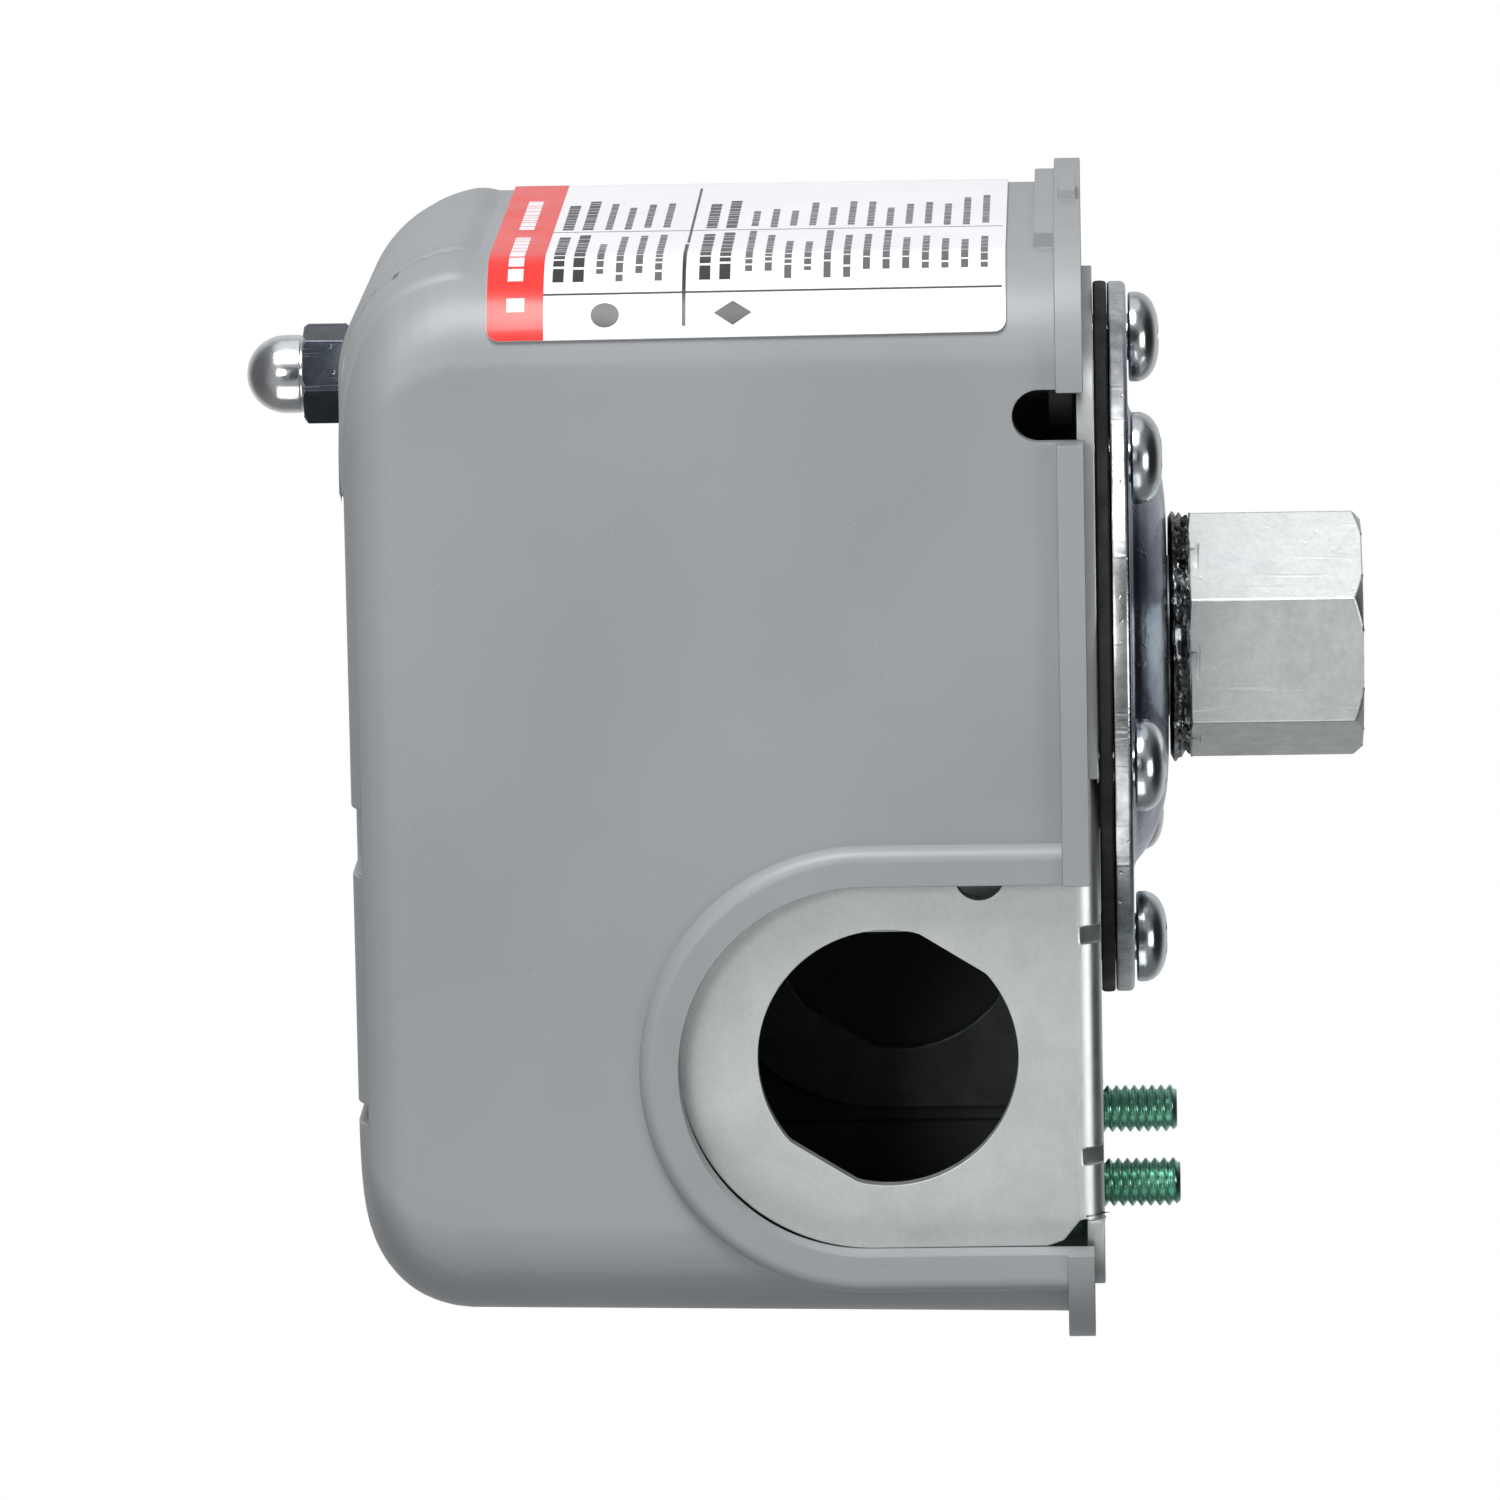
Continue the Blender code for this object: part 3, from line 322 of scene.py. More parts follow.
PLASTIC = moulded_plastic("look_grey_moulding", (0.272, 0.286, 0.298), (0.300, 0.314, 0.326), 0.38, 0.48)
BLACK = moulded_plastic("look_black_moulding", (0.012, 0.012, 0.013), (0.026, 0.026, 0.028), 0.34, 0.50, 0.12)
# darker copy of the grey moulding for the cover's inner faces: painted shade, the resin is the same
PLASTIC_IN_SHADE = moulded_plastic("look_inner_moulding", (0.105, 0.11, 0.118), (0.125, 0.13, 0.14), 0.5, 0.6)
RUBBER = rubber_sheet("look_black_rubber")
ZINC = plated("look_zinc_sheet", (0.635, 0.67, 0.652), (0.685, 0.72, 0.705), 0.50, 0.60, 2300, 0.30, 0.05, (0.72, 0.755, 0.77), 0.06, 0.16)
# darker copy of the zinc sheet for the flanges' inner faces: painted shade
ZINC_IN_SHADE = plated("look_zinc_inner", (0.20, 0.21, 0.21), (0.30, 0.315, 0.31), 0.30, 0.42, 2100, 0.26, 0.06, None, 0.08)
ZINC_EDGE = plated("look_sheared_edge", (0.30, 0.32, 0.35), (0.86, 0.88, 0.88), 0.20, 0.40, 700, 0.9, 0.5, None, 0.6, 0.5)
ZINC_B = plated("look_bright_zinc", (0.40, 0.45, 0.55), (0.66, 0.70, 0.74), 0.16, 0.30, 1300, 0.22, 0.20, (0.30, 0.35, 0.52), 0.0, 0.25)
DOME = plated("look_domed_plate", (0.20, 0.24, 0.33), (0.40, 0.44, 0.50), 0.16, 0.32, 1300, 0.30, 0.30, (0.16, 0.20, 0.34), 0.35, 0.3)
# lighter, smoother copy of the zinc for the outer bends: the lighter colour is a painted highlight, the lower roughness
# gives a tighter real reflection
ZINC_BEND_HIGHLIGHT = plated("look_zinc_bend", (0.80, 0.84, 0.84), (0.88, 0.91, 0.91), 0.40, 0.48, 1800, 0.24, 0.05, None, 0.05, 0.06)
ZINC_NUT = plated("look_bright_nut", (0.58, 0.62, 0.64), (0.76, 0.79, 0.80), 0.16, 0.28, 900, 0.30, 0.15, (0.52, 0.57, 0.64), 0.25, 0.2)
ACORN = plated("look_acorn_nut", (0.84, 0.86, 0.88), (0.94, 0.95, 0.96), 0.12, 0.24, 900, 0.30, 0.15, (0.50, 0.55, 0.66), 0.25, 0.25)
# dark copy of the acorn's plating for its hex flanks: painted dark reflection
ACORN_FLANK_PAINTED_DARK = plated("look_acorn_flank", (0.055, 0.065, 0.08), (0.11, 0.125, 0.15), 0.16, 0.30, 900, 0.45, 0.40, (0.20, 0.22, 0.26), 0.40, 0.3)
FITTING = plated("look_fitting_steel", (0.72, 0.75, 0.73), (0.78, 0.81, 0.79), 0.40, 0.52, 1900, 0.42, 0.45, (0.76, 0.78, 0.84), 0.30, 0.28)
STAKE = plated("look_staked_steel", (0.05, 0.053, 0.06), (0.70, 0.73, 0.74), 0.16, 0.40, 420, 1.0, 0.4, None, 0.8, 0.9)
GREEN = plated("look_green_zinc", (0.27, 0.55, 0.43), (0.44, 0.76, 0.63), 0.24, 0.40, 1300, 0.25, 0.10, (0.52, 0.78, 0.70))
BRASS = plated("look_brass", (0.60, 0.42, 0.17), (0.80, 0.60, 0.29), 0.22, 0.38, 1400, 0.2, 0.25)
COPPER = plated("look_contact_copper", (0.62, 0.30, 0.19), (0.86, 0.50, 0.36), 0.22, 0.40, 1400, 0.2, 0.25)
SPRING = plated("look_spring_steel", (0.36, 0.37, 0.39), (0.62, 0.63, 0.66), 0.22, 0.36, 1600, 0.2, 0.3)
LABEL = film("look_label_film", (0.86, 0.86, 0.88), (0.81, 0.81, 0.835))
INK_RED = film("look_ink_red", (0.80, 0.030, 0.020), (0.70, 0.022, 0.016), 0.30)
INK_BLACK = film("look_ink_black", (0.030, 0.030, 0.034), (0.018, 0.018, 0.020), 0.34)
INK_GREY = film("look_ink_grey", (0.13, 0.13, 0.14), (0.09, 0.09, 0.10), 0.36)
MATS = {}


def put(name, mesh, mat=None, cutter=False):
    ob = bpy.data.objects.new(name, mesh)
    (CUTS if cutter else PARTS).objects.link(ob)
    if cutter:
        ob.hide_render = True
        ob.display_type = 'WIRE'
    if mat is not None:
        mesh.materials.clear()
        mesh.materials.append(mat)
    return ob


def from_bm(name, bm, mat=None, cutter=False):
    me = bpy.data.meshes.new(name)
    bmesh.ops.recalc_face_normals(bm, faces=bm.faces)
    bm.to_mesh(me)
    bm.free()
    return put(name, me, mat, cutter)


def add_box(bm, lo, hi):
    lo, hi = Vector(lo) * MM, Vector(hi) * MM
    made = bmesh.ops.create_cube(bm, size=1.0)["verts"]
    size = hi - lo
    for v in made:
        v.co = lo + Vector(((v.co.x + 0.5) * size.x, (v.co.y + 0.5) * size.y, (v.co.z + 0.5) * size.z))
    return made


def box(name, lo, hi, mat=None, cutter=False):
    bm = bmesh.new()
    add_box(bm, lo, hi)
    return from_bm(name, bm, mat, cutter)


def add_cyl(bm, r, at, z0, z1, axis='Z', seg=32, r_top=None, turn=0.0):
    """Cylinder or cone along an axis, between z0 and z1 on that axis."""
    made = bmesh.ops.create_cone(bm, cap_ends=True, segments=fine(seg), radius1=r * MM,
                                 radius2=(r if r_top is None else r_top) * MM,
                                 depth=(z1 - z0) * MM,
                                 matrix=Matrix.Rotation(math.radians(turn), 4, 'Z'))["verts"]
    rot = {'Z': Matrix.Identity(4), 'Y': Matrix.Rotation(-math.pi / 2, 4, 'X'),
           'X': Matrix.Rotation(math.pi / 2, 4, 'Y')}[axis]
    mid = (z0 + z1) / 2
    off = {'Z': (at[0], at[1], mid), 'Y': (at[0], mid, at[1]), 'X': (mid, at[0], at[1])}[axis]
    bmesh.ops.transform(bm, matrix=Matrix.Translation(Vector(off) * MM) @ rot, verts=made)
    return made


def cyl(name, r, at, z0, z1, mat=None, cutter=False, axis='Z', seg=32, r_top=None, turn=0.0):
    bm = bmesh.new()
    add_cyl(bm, r, at, z0, z1, axis, seg, r_top, turn)
    return from_bm(name, bm, mat, cutter)


def turned(name, profile, at=(0.0, 0.0), mat=None, cutter=False, seg=32, closed=False):
    """Solid of revolution about Z from (radius, z) points that run down the outer side."""
    me = bpy.data.meshes.new(name)
    pts = [(r * MM, 0.0, z * MM) for r, z in profile]
    edges = [(i, i + 1) for i in range(len(pts) - 1)]
    if closed:
        edges.append((len(pts) - 1, 0))
    me.from_pydata(pts, edges, [])
    ob = put(name, me, mat, cutter)
    ob.location = Vector((at[0], at[1], 0.0)) * MM
    mod = ob.modifiers.new("turn", 'SCREW')
    mod.axis = 'Z'
    mod.angle = math.tau
    mod.steps = mod.render_steps = fine(seg)
    mod.use_merge_vertices = True
    mod.merge_threshold = 0.00001
    mod.use_normal_calculate = False
    return ob


def extruded(name, outline, lo, hi, mat=None, cutter=False, plane='XZ'):
    """Flat outline given in XZ or XY, filled and extruded from lo to hi across the plane."""
    cu = bpy.data.curves.new(name, 'CURVE')
    cu.dimensions = '2D'
    cu.fill_mode = 'BOTH'
    cu.extrude = (hi - lo) / 2 * MM
    sp = cu.splines.new('POLY')
    sp.points.add(len(outline) - 1)
    for p, (a, b) in zip(sp.points, outline):
        p.co = (a * MM, b * MM, 0.0, 1.0)
    sp.use_cyclic_u = True
    tmp = bpy.data.objects.new(name + "_outline", cu)
    PARTS.objects.link(tmp)
    mid = (lo + hi) / 2 * MM
    if plane == 'XZ':
        tmp.matrix_world = Matrix.Translation((0, mid, 0)) @ Matrix.Rotation(math.pi / 2, 4, 'X')
    else:
        tmp.matrix_world = Matrix.Translation((0, 0, mid))
    bpy.context.view_layer.update()
    dg = bpy.context.evaluated_depsgraph_get()
    me = bpy.data.meshes.new_from_object(tmp.evaluated_get(dg))
    bm = bmesh.new()
    bm.from_mesh(me)
    bmesh.ops.remove_doubles(bm, verts=bm.verts, dist=0.00001)
    bmesh.ops.transform(bm, matrix=tmp.matrix_world, verts=bm.verts)
    bpy.data.objects.remove(tmp, do_unlink=True)
    bpy.data.meshes.remove(me)
    return from_bm(name, bm, mat, cutter)


def coil(name, r, wire, z0, z1, turns, at, mat, per_turn=36):
    """Compression spring with closed, flat-wound end turns."""
    cu = bpy.data.curves.new(name, 'CURVE')
    cu.dimensions = '3D'
    cu.bevel_depth = wire * MM
    cu.bevel_resolution = 4
    cu.use_fill_caps = True
    sp = cu.splines.new('POLY')
    n = int(turns * per_turn)
    sp.points.add(n)
    dead = 0.9 * wire * 2
    lo, hi = z0 + wire, z1 - wire
    for i, p in enumerate(sp.points):
        t = i / per_turn
        if t < 1:
            z = lo + dead * 1.15 * t
        elif t > turns - 1:
            z = hi - dead * 1.15 * (turns - t)
        else:
            f = (t - 1) / (turns - 2)
            z = lo + dead * 1.15 + (hi - lo - 2.3 * dead) * f
        a = math.tau * t
        p.co = ((at[0] + r * math.cos(a)) * MM, (at[1] + r * math.sin(a)) * MM, z * MM, 1.0)
    ob = bpy.data.objects.new(name, cu)
    PARTS.objects.link(ob)
    cu.materials.append(mat)
    return ob


def boolean(ob, other, op='DIFFERENCE'):
    mod = ob.modifiers.new(other.name, 'BOOLEAN')
    mod.operation = op
    mod.solver = 'EXACT'
    mod.object = other
    return mod


def cut(ob, *others):
    for other in others:
        boolean(ob, other, 'DIFFERENCE')


def join(ob, *others):
    for other in others:
        boolean(ob, other, 'UNION')


def arch(xc, zc, r, z0, n=48):
    """Outline of an arch: half circle above, straight sides down to z0."""
    pts = [(xc + r * math.cos(math.pi * i / n), zc + r * math.sin(math.pi * i / n)) for i in range(n + 1)]
    return pts + [(xc - r, z0), (xc + r, z0)]


def round_rect(x0, x1, y0, y1, r, n=12):
    pts = []
    for cx, cy, a0 in ((x1 - r, y1 - r, 0), (x0 + r, y1 - r, 90), (x0 + r, y0 + r, 180), (x1 - r, y0 + r, 270)):
        for i in range(n + 1):
            a = math.radians(a0 + 90 * i / n)
            pts.append((cx + r * math.cos(a), cy + r * math.sin(a)))
    return pts


def conduit_outline(n):
    """Round conduit hole with two opposite chord flats."""
    pts = []
    for i in range(n):
        a = math.tau * i / n
        x, z = math.cos(a), math.sin(a)
        along = x * math.cos(CONDUIT_FLAT) + z * math.sin(CONDUIT_FLAT)
        if abs(along) > CONDUIT_FLAT_R / CONDUIT_R:
            over = abs(along) * CONDUIT_R - CONDUIT_FLAT_R
            s = 1 if along > 0 else -1
            pts.append((FLG_XC + x * CONDUIT_R - s * over * math.cos(CONDUIT_FLAT),
                        FLG_ZC + z * CONDUIT_R - s * over * math.sin(CONDUIT_FLAT)))
        else:
            pts.append((FLG_XC + x * CONDUIT_R, FLG_ZC + z * CONDUIT_R))
    return pts


def hex_r(af):
    return af / 2 / math.cos(math.pi / 6)


def screw_azimuths():
    return [math.radians(SCREW_AZ + 360.0 / SCREW_COUNT * k) for k in range(SCREW_COUNT)]


def smooth(ob, angle=35):
    ob.data.shade_smooth()
    ob.data.set_sharp_from_angle(angle=math.radians(angle))


def bevel(ob, width, segments=2, angle=32, tidy=True):
    if tidy:
        flat = ob.modifiers.new("flat_faces", 'DECIMATE')
        flat.decimate_type = 'DISSOLVE'
        flat.angle_limit = math.radians(0.4)
    mod = ob.modifiers.new("soft_edges", 'BEVEL')
    mod.width = width * MM
    mod.segments = segments
    mod.limit_method = 'ANGLE'
    mod.angle_limit = math.radians(angle)
    mod.use_clamp_overlap = False
    mod.miter_outer = 'MITER_ARC'
    return mod


def curve_through(points, n):
    """Smooth profile through control points (Catmull-Rom), n samples per span."""
    out = []
    p = [points[0]] + list(points) + [points[-1]]
    for i in range(1, len(p) - 2):
        for k in range(n):
            t = k / n
            out.append(tuple(0.5 * (2 * p[i][c] + (p[i + 1][c] - p[i - 1][c]) * t
                                    + (2 * p[i - 1][c] - 5 * p[i][c] + 4 * p[i + 1][c] - p[i + 2][c]) * t * t
                                    + (-p[i - 1][c] + 3 * p[i][c] - 3 * p[i + 1][c] + p[i + 2][c]) * t ** 3) for c in (0, 1)))
    out.append(tuple(points[-1]))
    return out


def rod_mesh(name, at, levels, mat, seg=64, cutter=False):
    """Closed solid of revolution from stacked (z, radius function of the angle) rings."""
    bm = bmesh.new()
    rings = []
    for z, rad in levels:
        ring = []
        for i in range(seg):
            a = math.tau * i / seg
            r = rad(a) if callable(rad) else rad
            ring.append(bm.verts.new(((at[0] + r * math.cos(a)) * MM, (at[1] + r * math.sin(a)) * MM, z * MM)))
        rings.append(ring)
    for lo, hi in zip(rings, rings[1:]):
        for i in range(seg):
            bm.faces.new((lo[i], lo[(i + 1) % seg], hi[(i + 1) % seg], hi[i]))
    bm.faces.new(rings[0][::-1])
    bm.faces.new(rings[-1])
    return from_bm(name, bm, mat, cutter)


def thread_levels(r_major, depth, pitch, z0, z1, lead=0.5, per=10, runout=0.0):
    """Ring levels of a right-hand thread between z0 and z1, chamfered at z0 (and run out at z1)."""
    n = int((z1 - z0) / pitch * per)
    out = []
    for k in range(n + 1):
        z = z0 + (z1 - z0) * k / n
        edge = min(1.0, (z - z0) / lead) if lead else 1.0
        fade = min(1.0, (z1 - z) / runout) if runout else 1.0

        def rad(a, z=z, edge=edge, fade=fade):
            t = (z / pitch - a / math.tau) % 1.0
            tri = abs(t * 2 - 1)                       # 0 at the crest, 1 at the root
            cut_in = depth * min(1.0, max(0.0, (tri - 0.12) / 0.76)) * fade
            return min(r_major - cut_in, r_major - depth * 1.05 + depth * 1.05 * edge)
        out.append((z, rad))
    return out


# ---- pipe fitting ---------------------------------------------------------------------
def build_fitting():
    rc = hex_r(HEX_AF)
    ob = cyl("hex_fitting", rc, (0, 0), 0.0, HEX_LEN, FITTING, seg=6, turn=HEX_TURN)
    chamfer = turned("fitting_chamfer", [(0, HEX_LEN + 1), (rc - 0.4, HEX_LEN + 0.4), (rc + 0.35, HEX_LEN - 0.6),
                                         (rc + 0.35, 1.0), (rc - 1.25, -0.05), (0, -0.05)], cutter=True, seg=48)
    boolean(ob, chamfer, 'INTERSECT')
    neck = turned("fitting_neck", [(0, 19.5), (8.4, 19.5), (8.4, 18.75), (FIT_NECK_R, 18.75), (FIT_NECK_R, DOME_Z - GAP),
                                   (FIT_COLLAR_R - 0.9, DOME_Z - GAP), (FIT_COLLAR_R - 0.5, HEX_LEN - 0.8), (0, HEX_LEN - 0.8)],
                  cutter=True, seg=24)
    join(ob, neck)
    bore = turned("fitting_bore", [(0, 25), (2.4, 25), (2.4, PIPE_BORE_DEPTH + 1.6), (PIPE_BORE_R, PIPE_BORE_DEPTH),
                                   (PIPE_BORE_R, 1.0), (PIPE_BORE_R + 1.1, -0.2), (0, -0.2)], cutter=True, seg=20)
    cut(ob, bore)
    bevel(ob, 0.16, 2, 20)
    # tapered pipe thread, 18 per inch
    cut(ob, rod_mesh("fitting_thread", (0, 0), [(-0.5, PIPE_BORE_R + 0.75)] + [
        (z, (lambda a, z=z: PIPE_BORE_R - 0.05 + 0.75 * (1 - abs(((z / 1.411 + a / math.tau) % 1.0) * 2 - 1)) * (1 - z / 15.5)))
        for z in [0.16 * k for k in range(1, 75)]], None, 72, True))
    return ob


def build_stake():
    """Ragged staked collar where the fitting is swaged to the dome."""
    def level(z, r, amp):
        def rad(a):
            p = Vector((math.cos(a) * 9.0, math.sin(a) * 9.0, z * 2.3))
            flat = 0.5 + 0.5 * math.cos(6 * (a - math.radians(HEX_TURN - 30)))
            wide = 1.0 if math.sin(a) > -0.1 or math.cos(a) > 0.43 or math.cos(a) < -0.62 else 0.3
            return r - 0.35 * (1 - wide) + amp * (0.35 + 0.65 * wide) * (0.25 * flat + 0.9 * noise.noise(p * 0.8) + 0.6 * noise.noise(p * 2.3) + 0.25 * noise.noise(p * 5.0))
        return rad
    z0, z1 = HEX_LEN - 0.15, DOME_Z - 0.12
    prof = [(z0, 9.3, 0.1), (z0 + 0.08, 9.9, 0.2), (z0 + 0.22, 10.3, 0.35), (z0 + 0.45, 10.2, 0.45), (z0 + 0.62, 9.95, 0.5), (z0 + 0.8, 10.15, 0.5),
            (z0 + 1.0, 10.45, 0.45), (z0 + 1.2, 10.35, 0.5), (z0 + 1.42, 10.6, 0.45), (z0 + 1.6, 10.75, 0.3), (z1, 10.3, 0.1)]
    ob = rod_mesh("fitting_stake_ring", (0, 0), [(z, level(z, r, amp)) for z, r, amp in prof], STAKE, 300)
    cut(ob, cyl("stake_bore", 8.9, (0, 0), z0 - 1, z1 + 1, cutter=True, seg=24))
    return ob


# ---- domed flange plate ---------------------------------------------------------------
def screw_xy(a):
    return SCREW_PCD_R * math.cos(a), SCREW_PCD_R * math.sin(a)


def build_plate():
    outer = curve_through([(DOME_R + 0.5, PLATE_Z0), (DOME_R - 0.5, PLATE_Z0 - 0.25), (DOME_R - 1.4, PLATE_Z0 - 0.95), (DOME_R - 3.0, PLATE_Z0 - 1.9),
                           (DOME_R - 5.4, PLATE_Z0 - 2.75), (DOME_R - 8.3, DOME_Z + 0.12), (FIT_NECK_R + GAP, DOME_Z)], 6)
    inner = curve_through([(FIT_NECK_R + GAP, DOME_Z + DOME_T), (DOME_R - 8.8, DOME_Z + DOME_T + 0.15),
                           (DOME_R - 6.2, PLATE_Z0 - 1.2), (DOME_R - 4.2, PLATE_Z0 - 0.4), (DOME_R - 2.2, PLATE_Z0 + 0.9),
                           (DOME_R - 1.4, PLATE_Z1)], 4)
    edge = [(FLANGE_R - 0.25, PLATE_Z1), (FLANGE_R - 0.06, PLATE_Z1 - 0.1), (FLANGE_R, PLATE_Z1 - 0.28), (FLANGE_R, PLATE_Z0 + 0.42),
            (FLANGE_R - 0.08, PLATE_Z0 + 0.2), (FLANGE_R - 0.26, PLATE_Z0 + 0.06), (FLANGE_R - 0.5, PLATE_Z0)]
    ob = turned("flange_plate", edge + outer + inner, mat=DOME, seg=64, closed=True)
    for k, a in enumerate(screw_azimuths()):
        cut(ob, cyl("plate_hole_%d" % k, SCREW_HOLE_R, screw_xy(a), PLATE_Z0 - 2, PLATE_Z1 + 2, cutter=True, seg=14))
    return ob


def build_diaphragm():
    """Moulded rubber sheet, pinched between the plate and the base at its rim."""
    lo, hi = DIA_Z0 - 0.14, DIA_Z1 + 0.2
    prof = [(0, DIA_Z1), (14.2, DIA_Z1), (15.0, DIA_Z1 - 0.5), (15.6, DIA_Z1 - 0.9), (16.3, DIA_Z1 - 0.5), (17.0, DIA_Z1), (20.5, DIA_Z1), (21.0, hi),
            (FLANGE_R - 0.14, hi), (FLANGE_R + 0.02, hi - 0.16), (FLANGE_R + 0.06, (lo + hi) / 2), (FLANGE_R + 0.02, lo + 0.16), (FLANGE_R - 0.14, lo),
            (21.0, lo), (20.5, DIA_Z0), (17.6, DIA_Z0), (16.6, DIA_Z0 - 0.6), (15.6, DIA_Z0 - 1.1), (14.6, DIA_Z0 - 0.6), (13.6, DIA_Z0), (0, DIA_Z0)]
    ob = turned("diaphragm", prof, mat=RUBBER, seg=64)
    for k, a in enumerate(screw_azimuths()):
        cut(ob, cyl("diaphragm_hole_%d" % k, SCREW_HOLE_R, screw_xy(a), DIA_Z0 - 2, DIA_Z1 + 2, cutter=True, seg=14))
    return ob


def ring_stack(name, at, rings, mat=None, cutter=False, seg=16):
    """Turned solid as stacked rings, from the lowest to the highest."""
    return turned(name, [(0, rings[-1][1])] + [(r, h) for r, h in rings[::-1]] + [(0, rings[0][1])], at, mat, cutter, seg)


def build_flange_screw(name, a, spin):
    """Pan-head cross-recess screw, head down."""
    z = PLATE_Z0 - GAP * 0.7
    at = screw_xy(a)
    head = []
    for k in range(13):
        t = math.radians(90 * k / 12)
        head.append((max(0.02, PAN_R * math.sin(t) ** 0.78), z - 0.55 - (PAN_H - 0.55) * math.cos(t) ** 0.9))
    rings = head + [(PAN_R, z - 0.5), (PAN_R - 0.02, z - 0.18), (PAN_R - 0.14, z - 0.04), (PAN_R - 0.3, z), (SCREW_SHANK_R, z),
                    (SCREW_SHANK_R, BASE_Z1 - 0.2)]
    ob = ring_stack(name, at, rings, ZINC_NUT, seg=24)
    x, y = at
    for k in (0, 1):
        bm = bmesh.new()
        w, d, l0, l1 = 0.42, 1.55, 1.0, 2.15
        top = [bm.verts.new((sx * l1, sy * w, -0.6)) for sx, sy in ((-1, -1), (1, -1), (1, 1), (-1, 1))]
        bot = [bm.verts.new((sx * l0, sy * w * 0.55, d)) for sx, sy in ((-1, -1), (1, -1), (1, 1), (-1, 1))]
        bm.faces.new(top[::-1])
        bm.faces.new(bot)
        for i in range(4):
            bm.faces.new((top[i], top[(i + 1) % 4], bot[(i + 1) % 4], bot[i]))
        turn = Matrix.Translation((x, y, z - PAN_H)) @ Matrix.Rotation(spin + k * math.pi / 2, 4, 'Z')
        bmesh.ops.transform(bm, matrix=Matrix.Scale(MM, 4) @ turn, verts=bm.verts)
        cut(ob, from_bm("%s_recess_%d" % (name, k), bm, cutter=True))
    bevel(ob, 0.07, 2, 40)
    return ob


# ---- base frame -----------------------------------------------------------------------
BEND_R = 2.1


